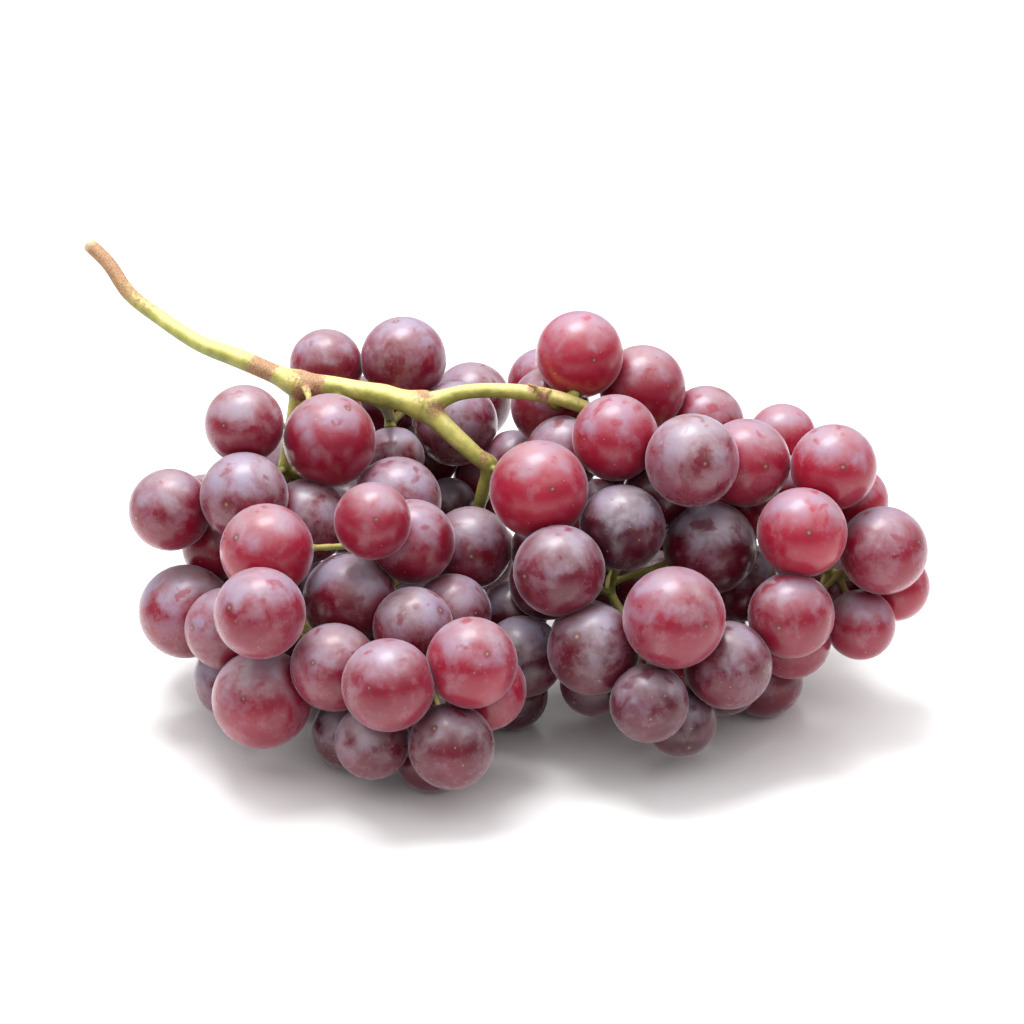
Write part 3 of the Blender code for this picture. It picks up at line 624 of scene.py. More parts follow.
def settle(table, stem_points):
    """Moves the berries until neighbours touch and none cross, mostly along the eye's lines of sight."""
    across, up, radius, first_ahead, lobe, glimpsed = table.T
    glimpsed = glimpsed > 0
    count = len(table)
    first, second = np.triu_indices(count, 1)
    pair_number = {pair: number for number, pair in enumerate(zip(first, second))}
    nearer = np.where(first_ahead[first] >= first_ahead[second], 1.0, -1.0)
    same_lobe = lobe[first] == lobe[second]
    beside_stem = np.where(first_ahead[:, None] >= stem_points[None, :, 2], 1.0, -1.0)
    slip = np.where(glimpsed, GLIMPSED_SLIP, SEEN_SLIP)[:, None]
    grip = np.where(glimpsed, GLIMPSED_GRIP, SEEN_GRIP)[:, None]
    most_shift = np.where(glimpsed, GLIMPSED_MOST, SEEN_MOST)
    ahead = first_ahead.copy()
    shift = np.zeros((count, 2))
    joined = np.zeros(len(first), bool)
    for step in range(SETTLE_STEPS):
        scale = shrink_at(ahead)
        flat = np.column_stack([across, up]) * scale[:, None] + shift
        size = radius * scale
        centres = np.column_stack([flat, ahead])
        if step % REJOIN_EVERY == 0 and step < REJOIN_UNTIL:
            sums = size[:, None] + size[None]
            apart = lengths(centres[:, None] - centres[None]) / sums
            beside = lengths(flat[:, None] - flat[None]) / sums
            cost = np.maximum(apart - PRESSED, 0) + SIDEWAYS_COST * np.maximum(beside - PRESSED, 0)
            joined[:] = False
            for number in range(len(LOBES)):
                for a, b in shortest_tree(cost, list(np.where(lobe == number)[0])):
                    joined[pair_number[(min(a, b), max(a, b))]] = True

        sums = size[first] + size[second]
        reach = np.where(same_lobe, CLEAR * sums, BERRY_SWELL * sums + LOBE_GAP)
        reach = np.where(joined, PRESSED * sums, reach)
        sideways = flat[first] - flat[second]
        beside = lengths(sideways) + TINY
        in_front = (ahead[first] - ahead[second]) * nearer
        wanted = np.sqrt(np.maximum(reach ** 2 - beside ** 2, 0))
        crossing = (beside < reach) & (in_front < wanted)
        active = crossing | joined
        forward = np.where(active, wanted - in_front, 0) * nearer / 2
        too_near = np.clip(reach - np.sqrt(beside ** 2 + in_front ** 2), 0, MOST_OUTWARD)
        outward = np.where(crossing & ~joined, too_near, 0)
        outward += np.where(joined & (beside > reach), reach - beside, 0)
        outward = sideways / beside[:, None] * outward[:, None] / 2
        move = np.zeros(count)
        slide = np.zeros((count, 2))
        meetings = np.zeros(count)
        for side, ends in ((1, first), (-1, second)):
            np.add.at(move, ends, side * forward)
            np.add.at(slide, ends, side * outward)
            np.add.at(meetings, ends, active)

        keep_off = (BERRY_SWELL * size)[:, None] + stem_points[None, :, 3] + PART_GAP
        aside = lengths(flat[:, None] - stem_points[None, :, :2])
        wanted = np.sqrt(np.maximum(keep_off ** 2 - aside ** 2, 0))
        lead = (ahead[:, None] - stem_points[None, :, 2]) * beside_stem
        short = np.where(wanted > 0, np.maximum(wanted - lead, 0), 0)
        worst = np.argmax(short, axis=1)
        own = np.arange(count)
        move += short[own, worst] * beside_stem[own, worst]
        meetings += short[own, worst] > 0

        pace = FIRST_PACE if step < SETTLE_STEPS * PACE_CHANGE else LAST_PACE
        ahead = ahead + pace * move / np.maximum(meetings, 1)
        shift = (shift + slip * pace * slide) * grip
        shift *= np.minimum(1, most_shift / np.maximum(lengths(shift), TINY))[:, None]
        height = AIM_HEIGHT + centres[:, 1] * math.cos(EYE_TILT) + ahead * math.sin(EYE_TILT)
        below = np.maximum(size - FLAT_SPOT_DEPTH - height, 0)
        ahead = ahead + FLOOR_PACE * below / math.sin(EYE_TILT)
    scale = shrink_at(ahead)
    flat = np.column_stack([across, up]) * scale[:, None] + shift
    return to_space(np.column_stack([flat, ahead])), radius * scale


def filled_outline(centres, radii):
    """Which square millimetres of the eye's view lie in the outline of the berries, and its open gaps.

    The gaps are given as the places of their square millimetres."""
    middles, scale, _ = in_view(centres)
    columns = np.arange(-VIEW_HALF_WIDTH, VIEW_HALF_WIDTH + 1)
    rows = np.arange(-VIEW_HALF_HEIGHT, VIEW_HALF_HEIGHT + 1)
    grid_across, grid_up = np.meshgrid(columns, rows, indexing="ij")
    squares = np.stack([grid_across, grid_up], axis=-1)
    covered = np.zeros(grid_across.shape, bool)
    for middle, size in zip(middles, radii / scale):
        covered |= lengths(squares - middle) < size
    outside = np.zeros(covered.shape, bool)
    outside[0, :] = True
    grown = True
    while grown:
        spread = outside.copy()
        spread[1:, :] |= outside[:-1, :]
        spread[:-1, :] |= outside[1:, :]
        spread[:, 1:] |= outside[:, :-1]
        spread[:, :-1] |= outside[:, 1:]
        spread &= ~covered
        grown = (spread != outside).any()
        outside = spread
    return ~outside, squares[~outside & ~covered]


def uncovered(gaps, centre, radius):
    """The gaps that a berry leaves open."""
    middle, scale, _ = in_view(centre)
    return gaps[lengths(gaps - middle) > radius / scale]


def gaps_closed(gaps, candidates, radius):
    """How many square millimetres of the gaps a berry would close at each of the candidate places."""
    middles, scale, _ = in_view(candidates)
    between = lengths(gaps[None] - middles[:, None])
    return (between < (radius / scale)[:, None]).sum(axis=1)


def behind_the_seen(candidates, radius, outline, seen_centres, seen_radii):
    """Which candidate places would neither widen the outline nor cover a seen berry."""
    middle, scale, ahead = in_view(candidates)
    size = radius / scale
    fine = np.ones(len(candidates), bool)
    last_column, last_row = 2 * VIEW_HALF_WIDTH, 2 * VIEW_HALF_HEIGHT
    for turn in np.linspace(0, 2 * math.pi, RIM_SPOTS, endpoint=False):
        rim = middle + size[:, None] * np.array([math.cos(turn), math.sin(turn)])
        square = np.round(rim).astype(int) + np.array([VIEW_HALF_WIDTH, VIEW_HALF_HEIGHT])
        fine &= outline[square[:, 0].clip(0, last_column), square[:, 1].clip(0, last_row)]
    seen_middle, seen_scale, seen_ahead = in_view(seen_centres)
    into = np.maximum(lengths(middle[:, None] - seen_middle) - seen_radii / seen_scale, 0)
    front = ahead[:, None] + np.sqrt(np.maximum(size[:, None] ** 2 - into ** 2, 0))
    covers = (into < size[:, None]) & (front > seen_ahead + COVER_MARGIN)
    return fine & ~covers.any(axis=1)


def ease_apart(centres, radii, lobe, stem_points):
    """Slims a berry that comes too near one of another lobe or a stem."""
    radii = radii.copy()
    stem_places = to_space(stem_points[:, :3])
    for number, centre in enumerate(centres):
        others = lobe != lobe[number]
        spare = (lengths(centres[others] - centre) - PART_GAP) / BERRY_SWELL - radii[others]
        stem_spare = lengths(stem_places - centre) - stem_points[:, 3] - PART_GAP
        radii[number] = min(radii[number], spare.min(), stem_spare.min() / BERRY_SWELL)
    return radii


def pedicel_widths(share):
    """The radius of a solid's pedicel at shares of its length."""
    return PEDICEL_RADIUS + (PEDICEL_END_RADIUS - PEDICEL_RADIUS) * share


def along_pedicel(start, end):
    """Spots along a pedicel, as places with the pedicel's radius there."""
    share = np.linspace(0, 1, FEWER_PEDICEL_SPOTS)[:, None]
    return np.column_stack([start + (end - start) * share, pedicel_widths(share)])


def find_pedicel(centre, radius, starts, other_centres, other_radii):
    """The two ends of the shortest straight pedicel to a berry that keeps clear of the others, or None."""
    touch = BERRY_SWELL * radius + PART_GAP
    spans = lengths(starts - centre)
    nearest = np.argsort(spans)[:PEDICEL_STARTS]
    begins, spans = starts[nearest], spans[nearest]
    ends = centre + (begins - centre) * (touch / spans)[:, None]
    share = np.linspace(0, 1, PEDICEL_SPOTS)[:, None]
    spots = begins[:, None] + (ends - begins)[:, None] * share
    room = lengths(spots[:, :, None] - other_centres) - BERRY_SWELL * other_radii - PART_GAP
    clear = (room.min(axis=2) > pedicel_widths(share[:, 0])).all(axis=1) & (spans - touch < PEDICEL_LONGEST)
    if not clear.any():
        return None
    best = np.argmax(clear)
    return begins[best], ends[best]


def seen_pedicels(centres, radii, starts):
    found = []
    for own, centre in enumerate(centres):
        others = np.arange(len(centres)) != own
        found.append(find_pedicel(centre, radii[own], starts, centres[others], radii[others]))
    return found


def candidate_places(number, radius, centres, radii, lobe, draw):
    """Places where a hidden berry would press on one of its own lobe, half of them down on the table."""
    parents = draw.choice(np.where(lobe == number)[0], HIDDEN_TRIES)
    direction = draw.normal(size=(HIDDEN_TRIES, 3))
    direction /= lengths(direction)[:, None]
    reach = PRESSED * (radii[parents] + radius)
    drop = (radius - FLAT_SPOT_DEPTH - centres[parents, 2]) / reach
    put_down = (np.arange(HIDDEN_TRIES) % 2 == 0) & (np.abs(drop) < STEEPEST_DROP)
    level = np.sqrt(np.maximum(1 - drop ** 2, 0))
    around = direction[:, :2] / lengths(direction[:, :2])[:, None]
    floor_way = np.column_stack([around * level[:, None], drop])
    direction = np.where(put_down[:, None], floor_way, direction)
    places = centres[parents] + direction * reach[:, None]
    gaps = lengths(places[:, None] - centres[None]) / (radii[None] + radius)
    gaps[np.arange(HIDDEN_TRIES), parents] = OUT_OF_REACH
    return places, gaps, put_down


def grow_hidden(centres, radii, lobe, stem_points, pedicels, starts, draw):
    """Sets hidden berries against the others, each where it packs most closely and a pedicel reaches."""
    seen_centres, seen_radii = centres, radii
    outline, open_gaps = filled_outline(centres, radii)
    stem_spots = np.column_stack([to_space(stem_points[:, :3]), stem_points[:, 3]])
    rows = [along_pedicel(*pedicel) for pedicel in pedicels if pedicel is not None]
    stem_spots = np.vstack([stem_spots] + rows)
    for turn in range(max(row[3] for row in LOBES)):
        for number, (_, _, _, wanted, middle, half_widths) in enumerate(LOBES):
            if turn >= wanted:
                continue
            radius = draw.uniform(SMALLEST_HIDDEN, LARGEST_HIDDEN)
            places, gaps, put_down = candidate_places(number, radius, centres, radii, lobe, draw)
            clear = (gaps > np.where(lobe == number, CLEAR, LOBES_CLEAR)).all(axis=1)
            stem_gap = lengths(places[:, None] - stem_spots[None, :, :3]) - stem_spots[None, :, 3]
            clear &= stem_gap.min(axis=1) > BERRY_SWELL * radius + PART_GAP
            clear &= (places[:, 2] > radius + HIDDEN_OVER_TABLE) | put_down
            clear &= lengths((places - np.array(middle)) / np.array(half_widths)) < 1.0
            clear &= behind_the_seen(places, radius, outline, seen_centres, seen_radii)
            good = np.where(clear)[0]
            crowding = np.sort(gaps[good], axis=1)[:, :NEIGHBOURS_COUNTED].sum(axis=1)
            crowding -= GAP_WORTH * gaps_closed(open_gaps, places[good], radius)
            for best in good[np.argsort(crowding, kind="stable")][:HIDDEN_SECOND_TRIES]:
                pedicel = find_pedicel(places[best], radius, starts, centres, radii)
                if pedicel is None:
                    continue
                centres = np.vstack([centres, places[best]])
                radii = np.append(radii, radius)
                lobe = np.append(lobe, number)
                pedicels = pedicels + [pedicel]
                stem_spots = np.vstack([stem_spots, along_pedicel(*pedicel)])
                open_gaps = uncovered(open_gaps, places[best], radius)
                break
    return centres, radii, lobe, pedicels


def lay_out():
    """The whole bunch: berry centres, radii and lobes, the stem paths, and a pedicel for each berry."""
    draw = np.random.default_rng(SEED)
    paths = [stem_path(rows) for rows in [STALK] + BRANCHES]
    stem_points = np.vstack([spaced(path, STEM_SPACING) for path in paths])
    starts = to_space(stem_points[stem_points[:, 0] > PEDICELS_FROM_ACROSS, :3])
    table = seen_table()
    lobe = table[:, 4].astype(int)
    centres, radii = settle(table, stem_points)
    radii = ease_apart(centres, radii, lobe, stem_points)
    pedicels = seen_pedicels(centres, radii, starts)
    centres, radii, lobe, pedicels = grow_hidden(centres, radii, lobe, stem_points, pedicels, starts, draw)
    return centres, radii, lobe, paths, pedicels


def at_origin(points):
    """Places in millimetres as places in metres, with the bunch moved over the origin."""
    return (points - np.array([MIDDLE_ACROSS, MIDDLE_DEEP, 0.0])) * MM


def looks_of_berries(centres, pedicels, draw):
    """For each berry its tone, its bloom, and which way its scar points."""
    rows = [row for _, seen, glimpsed, _, _, _ in LOBES for row in seen + glimpsed]
    tones, blooms, scars = [], [], []
    for number in range(len(centres)):
        start, end = pedicels[number]
        away = unit(centres[number] - end)
        tone, bloom = draw.uniform(*HIDDEN_TONE), draw.uniform(*HIDDEN_BLOOM)
        tilted = unit(away + draw.normal(size=3) * SCAR_TILT)
        if number < len(rows):
            tone, bloom = rows[number][4:6]
            if len(rows[number]) > 6:
                across, up = rows[number][6:8]
                toward = math.sqrt(max(1 - across ** 2 - up ** 2, 0.0))
                tilted = unit(turned(np.array([across, up, toward]), EYE_AXES))
        tones.append(tone)
        blooms.append(bloom)
        scars.append(tilted)
    return np.array(tones), np.array(blooms), np.array(scars)


def pressed_flat(reach, toward, distance):
    """How far a berry reaches once it is flattened, with a rounded edge, at a distance from its middle.

    Toward is how much each of its directions goes that way."""
    limit = np.where(toward > LEAST_TOWARD, distance / np.maximum(toward, LEAST_TOWARD), NO_LIMIT)
    return (reach + limit - np.sqrt((reach - limit) ** 2 + PRESS_ROUNDING ** 2)) / 2


def berry_directions(scar, spin):
    """Directions out from a berry's middle in rings round its scar, closest together at both ends."""
    share = np.linspace(0, 1, BERRY_RINGS + 2)[1:-1]
    angle = math.pi * (share - RING_GATHERING * np.sin(2 * math.pi * share) / (2 * math.pi))
    turn = np.linspace(0, 2 * math.pi, BERRY_SEGMENTS, endpoint=False) + spin
    aside = [0.0, 0.0, 1.0] if abs(scar[2]) < NEARLY_UPRIGHT else [1.0, 0.0, 0.0]
    side = unit(np.cross(aside, scar))
    other = np.cross(scar, side)
    angle, turn = angle[:, None, None], turn[None, :, None]
    rings = np.cos(angle) * scar + np.sin(angle) * (np.cos(turn) * side + np.sin(turn) * other)
    return np.vstack([scar[None], rings.reshape(-1, 3), -scar[None]])


def berry_faces():
    """Triangles and squares of one berry: a fan at the scar, bands of squares, and a fan at the far end."""
    faces = []
    count = BERRY_SEGMENTS
    for turn in range(count):
        following = (turn + 1) % count
        faces.append((0, 1 + turn, 1 + following))
        for ring in range(BERRY_RINGS - 1):
            near, far = 1 + ring * count, 1 + (ring + 1) * count
            faces.append((near + turn, far + turn, far + following, near + following))
        last = 1 + (BERRY_RINGS - 1) * count
        faces.append((last + turn, last + count, last + following))
    return faces


def berry_shape(number, bunch, draw):
    """Points of one berry, and their numbers: how far each is from the scar, from the pedicel and from the
    berries beside, all in millimetres, and how much it faces up."""
    centres, radii, pedicels, scars = bunch
    centre, radius = centres[number], radii[number]
    out = berry_directions(scars[number], draw.uniform(0, math.pi))
    pedicel_way = unit(pedicels[number][1] - centre)
    from_scar = radius * np.arccos(np.clip((out * scars[number]).sum(axis=1), -1, 1))
    from_pedicel = radius * np.arccos(np.clip((out * pedicel_way).sum(axis=1), -1, 1))
    wobble = np.zeros(len(out))
    for _ in range(WOBBLES):
        way = unit(draw.normal(size=3)) * draw.uniform(*WOBBLE_WAVES)
        wobble += np.sin((out * way).sum(axis=1) + draw.uniform(0, 2 * math.pi)) / WOBBLES
    reach = radius * (FULLNESS - WOBBLE_SHARE * (1 + wobble))
    reach -= PEDICEL_DENT * np.exp(-(from_pedicel / PEDICEL_DENT_WIDTH) ** 2)
    reach -= SCAR_DENT * np.exp(-(from_scar / SCAR_DENT_WIDTH) ** 2)
    reach += SCAR_RIM * np.exp(-((from_scar - SCAR_RIM_AT) / SCAR_RIM_WIDTH) ** 2)
    reach += SCAR_TIP * np.exp(-(from_scar / SCAR_TIP_WIDTH) ** 2)

    ways = centres - centre
    apart = lengths(ways)
    near = (apart > 0) & (apart < radii + radius)
    for other in np.where(near)[0]:
        middle = (apart[other] ** 2 + radius ** 2 - radii[other] ** 2) / (2 * apart[other])
        toward = (out * (ways[other] / apart[other])).sum(axis=1)
        reach = pressed_flat(reach, toward, middle - PRESS_GAP)
    reach = pressed_flat(reach, -out[:, 2], centre[2] - FLOOR_GAP)
    points = centre + out * reach[:, None]
    beside = np.full(len(points), BESIDE_REACH)
    for other in np.where((apart > 0) & (apart < radii + radius + BESIDE_REACH))[0]:
        beside = np.minimum(beside, lengths(points - centres[other]) - radii[other])
    numbers = {"from_scar": from_scar, "from_pedicel": from_pedicel, "upward": out[:, 2], "beside": beside}
    return points, numbers


def add_numbers(mesh, name, values):
    """Keeps one number, or one place, for each point of a mesh, for its material to read."""
    kind, field = ("FLOAT_VECTOR", "vector") if values.ndim == 2 else ("FLOAT", "value")
    mesh.attributes.new(name, kind, "POINT").data.foreach_set(field, values.astype(np.float32).ravel())


def into_scene(name, data):
    """A new object in the scene, with its mesh, lamp or camera."""
    made = bpy.data.objects.new(name, data)
    bpy.context.scene.collection.objects.link(made)
    return made


def object_of(name, points, faces):
    """A smooth object from points in millimetres."""
    mesh = bpy.data.meshes.new(name)
    mesh.from_pydata(at_origin(points).tolist(), [], faces)
    mesh.validate()
    mesh.shade_smooth()
    return into_scene(name, mesh)


def build_berries(name, members, bunch, tones, blooms, draw):
    """All the berries of one lobe as one piece, each its own closed shape."""
    one = berry_faces()
    points, faces, numbers = [], [], []
    for number in members:
        shape, own = berry_shape(number, bunch, draw)
        shift = len(points) * len(shape)
        faces += [tuple(corner + shift for corner in face) for face in one]
        points.append(shape)
        own["spot"] = shape - bunch[0][number] + draw.uniform(-SPREAD_OUT, SPREAD_OUT, 3)
        own["from_scar"] = own["from_scar"] * draw.uniform(*SCAR_SPREAD)
        own["tone"] = np.full(len(shape), tones[number])
        own["bloom"] = np.full(len(shape), blooms[number])
        numbers.append(own)
    made = object_of(name, np.vstack(points), faces)
    for title in numbers[0]:
        add_numbers(made.data, title, np.concatenate([own[title] for own in numbers]))
    return made


def smooth_path(path, spacing):
    """A curve through the points of a stem path, with a radius at each of its closely spaced points."""
    padded = np.vstack([2 * path[0] - path[1], path, 2 * path[-1] - path[-2]])
    padded[0, 3], padded[-1, 3] = path[0, 3], path[-1, 3]
    rows = []
    for before, start, end, after in zip(padded[:-3], padded[1:-2], padded[2:-1], padded[3:]):
        pieces = max(2, math.ceil(lengths(end[:3] - start[:3]) / spacing))
        for share in np.arange(pieces) / pieces:
            rows.append((2 * start + (end - before) * share
                         + (2 * before - 5 * start + 4 * end - after) * share ** 2
                         + (3 * start - before - 3 * end + after) * share ** 3) / 2)
    rows.append(path[-1])
    return np.array(rows)


def tube(points, radii, ridges, draw):
    """Points and faces of a closed tube, slightly ridged along its length."""
    ahead = unit(np.gradient(points, axis=0))
    side = unit(np.cross(ahead[0], FIRST_SIDE))
    sides = []
    for way in ahead:
        side = unit(side - way * (side * way).sum())
        sides.append(side)
    sides = np.array(sides)
    others = np.cross(ahead, sides)
    turn = np.linspace(0, 2 * math.pi, TUBE_SIDES, endpoint=False)
    wave = 1.0
    for (waves, strength), phase in zip(RIDGE_WAVES, draw.uniform(0, 2 * math.pi, len(RIDGE_WAVES))):
        wave = wave + strength * np.sin(waves * turn + phase)
    width = radii[:, None] * (1 - ridges * wave)[None]
    rings = points[:, None] + width[..., None] * (
        np.cos(turn)[None, :, None] * sides[:, None] + np.sin(turn)[None, :, None] * others[:, None])
    count = TUBE_SIDES
    faces = [tuple(range(count))[::-1]]
    for ring in range(len(points) - 1):
        near, far = ring * count, (ring + 1) * count
        for number in range(count):
            following = (number + 1) % count
            faces.append((near + number, near + following, far + following, far + number))
    faces.append(tuple(range((len(points) - 1) * count, len(points) * count)))
    return rings.reshape(-1, 3), faces


def swollen(points, radii, spots):
    """Thickens a tube at its joints: spots are rows of place, extra share and width."""
    thicker = np.ones(len(points))
    for place, extra, width in spots:
        thicker += extra * np.exp(-(lengths(points - place) / width) ** 2)
    return radii * thicker


def pedicel_tube(start, end, centre, radius, draw):
    """A pedicel from its branch to the dent in its berry, with a wider seat there."""
    way = unit(centre - end)
    seat = centre - way * (radius - PEDICEL_SUNK)
    length = lengths(seat - start)
    share = np.linspace(0, 1, max(FEWEST_PEDICEL_RINGS, math.ceil(length / PEDICEL_STEP)))
    left = length * (1 - share)
    points = start + (seat - start) * share[:, None]
    radii = PEDICEL_RADIUS * (1 + BASE_SWELLING * np.exp(-(length * share / BASE_LENGTH) ** 2))
    radii += (SEAT_RADIUS - PEDICEL_RADIUS) * np.exp(-(left / SEAT_LENGTH) ** 2)
    radii *= 1 + UNEVEN_SHARE * np.sin(left * UNEVEN_PACE + draw.uniform(0, 2 * math.pi))
    return points, radii


def build_stem(paths, centres, radii, pedicels, draw):
    """The stalk, branches and pedicels, grown together into one piece."""
    joints = [(to_space(path[0, :3]), JOINT_SWELLING, JOINT_REACH * path[0, 3]) for path in paths[1:]]
    joints += [(to_space(shrunk(place)), extra, width) for place, extra, width in KNUCKLES]
    pieces, guides = [], []
    for path in paths:
        line = smooth_path(path, STEM_STEP)
        points = to_space(line[:, :3])
        thick = swollen(points, line[:, 3] * STEM_SLIMMER, joints)
        pieces.append(tube(points, thick, STEM_RIDGES, draw))
        guides += [(point, 0.0) for point in points]
    for number, (start, end) in enumerate(pedicels):
        points, thick = pedicel_tube(start, end, centres[number], radii[number], draw)
        pieces.append(tube(points, thick, PEDICEL_RIDGES, draw))
        guides += [(point, 1.0) for point in points]
    for rows in STUBS:
        line = smooth_path(stem_path(rows), STEM_STEP)
        points = to_space(line[:, :3])
        pieces.append(tube(points, line[:, 3], STUB_RIDGES, draw))
    shift, all_points, all_faces = 0, [], []
    for points, faces in pieces:
        all_points.append(points)
        all_faces += [tuple(corner + shift for corner in face) for face in faces]
        shift += len(points)
    stem = object_of("stem_grown", np.vstack(all_points), all_faces)
    grown = stem.modifiers.new("grown_together", "REMESH")
    grown.mode = "VOXEL"
    grown.voxel_size = STEM_VOXEL * MM
    evened = stem.modifiers.new("evened", "SMOOTH")
    evened.factor = STEM_EVENING
    evened.iterations = STEM_EVENED_TIMES
    thinned = stem.modifiers.new("thinned", "DECIMATE")
    thinned.ratio = STEM_KEPT_FACES
    bpy.context.view_layer.update()
    graph = bpy.context.evaluated_depsgraph_get()
    fused = bpy.data.meshes.new_from_object(stem.evaluated_get(graph))
    stem.modifiers.clear()
    stem.data = fused
    fused.name = "stem_grown"
    fused.shade_smooth()
    colour_stem(fused, guides)
    return stem


def shrunk(place):
    """A place as the eye sees it (across, up, ahead), brought to its own distance."""
    across, up, ahead = place
    scale = shrink_at(ahead)
    return np.array([across * scale, up * scale, ahead])


def colour_stem(mesh, guides):
    """Gives each point of the stem its place, how brown it is, how much it faces up, whether it is on a
    pedicel, and how near the cut end it is. Guides are points inside the stem, with 1 in a pedicel."""
    count = len(mesh.vertices)
    places = np.empty(count * 3, np.float32)
    mesh.vertices.foreach_get("co", places)
    places = places.reshape(-1, 3) / MM + np.array([MIDDLE_ACROSS, MIDDLE_DEEP, 0.0])
    normals = np.empty(count * 3, np.float32)
    mesh.vertex_normals.foreach_get("vector", normals)
    normals = normals.reshape(-1, 3)
    brown = np.zeros(count)
    for place, strength, width in BROWN_SPOTS:
        spot = to_space(shrunk(place))
        brown = np.maximum(brown, strength * np.exp(-(lengths(places - spot) / width) ** 2))
    ends = to_space(stem_path(STALK)[:, :3])
    from_end = lengths(places - ends[0])
    brown = np.maximum(brown, END_BROWN * np.exp(-(from_end / END_BROWN_LENGTH) ** 2))
    tree = kdtree.KDTree(len(guides))
    for number, (point, _) in enumerate(guides):
        tree.insert(point, number)
    tree.balance()
    pedicel = np.array([guides[tree.find(place)[1]][1] for place in places])
    add_numbers(mesh, "spot", places)
    add_numbers(mesh, "brown", brown)
    add_numbers(mesh, "upward", normals[:, 2])
    add_numbers(mesh, "pedicel", pedicel)
    add_numbers(mesh, "cut_end", np.clip(1 - from_end / CUT_END_SIZE, 0, 1))


class Nodes:
    """Short ways to add and join the nodes of one material."""

    def __init__(self, name):
        self.material = bpy.data.materials.new(name)
        self.material.use_nodes = True
        self.tree = self.material.node_tree
        self.shader = self.tree.nodes["Principled BSDF"]

    def fill(self, socket, value):
        if hasattr(value, "is_output"):
            self.tree.links.new(value, socket)
        else:
            socket.default_value = value

    def set_shader(self, values):
        for name, value in values.items():
            self.fill(self.shader.inputs[name], value)

    def make(self, kind, output, inputs, **settings):
        """A new node with its settings and inputs, given as one of its outputs."""
        made = self.tree.nodes.new("ShaderNode" + kind)
        for name, value in settings.items():
            setattr(made, name, value)
        for name, value in inputs.items():
            self.fill(made.inputs[name], value)
        return made.outputs[output]

    def read(self, name, output="Fac"):
        return self.make("Attribute", output, {}, attribute_name=name)

    def noise(self, vector, scale, detail, roughness=0.5, distortion=0.0):
        inputs = {"Vector": vector, "Scale": scale, "Detail": detail, "Roughness": roughness}
        return self.make("TexNoise", "Fac", inputs | {"Distortion": distortion})

    def cells(self, vector, scale, output):
        """Of many scattered places, how far the nearest is (Distance), or a colour of its own (Color)."""
        return self.make("TexVoronoi", output, {"Vector": vector, "Scale": scale})

    def red_of(self, colour):
        return self.make("SeparateColor", 0, {0: colour})

    def math(self, operation, first, second):
        return self.make("Math", 0, {0: first, 1: second}, operation=operation)

    def plus(self, first, second):
        return self.math("ADD", first, second)

    def minus(self, first, second):
        return self.math("SUBTRACT", first, second)

    def times(self, first, second):
        return self.math("MULTIPLY", first, second)

    def swing(self, noise, size):
        """How far noise is above its middle value, or below it, made as large as the size says."""
        return self.times(self.minus(noise, 0.5), size)

    def blend(self, first, first_share, second, second_share):
        return self.plus(self.times(first, first_share), self.times(second, second_share))

    def ramp(self, value, low, high, low_to=0.0, high_to=1.0):
        """A smooth change from low_to to high_to as the value goes from low to high."""
        inputs = {"Value": value, "From Min": low, "From Max": high, "To Min": low_to, "To Max": high_to}
        return self.make("MapRange", "Result", inputs, interpolation_type="SMOOTHSTEP")

    def colours(self, value, stops):
        made = self.tree.nodes.new("ShaderNodeValToRGB")
        self.fill(made.inputs["Fac"], value)
        points = made.color_ramp.elements
        while len(points) < len(stops):
            points.new(0.5)
        for point, (place, colour) in zip(points, stops):
            point.position = place
            point.color = (*colour, 1.0)
        return made.outputs["Color"]

    def mix(self, share, first, second):
        """One colour changed toward another, which is an output or a plain colour."""
        if not hasattr(second, "is_output"):
            second = (*second, 1.0)
        return self.make("Mix", 2, {"Factor": share, 6: first, 7: second}, data_type="RGBA")

    def bump(self, height, distance, strength):
        inputs = {"Strength": strength, "Distance": distance, "Height": height}
        self.fill(self.shader.inputs["Normal"], self.make("Bump", "Normal", inputs))


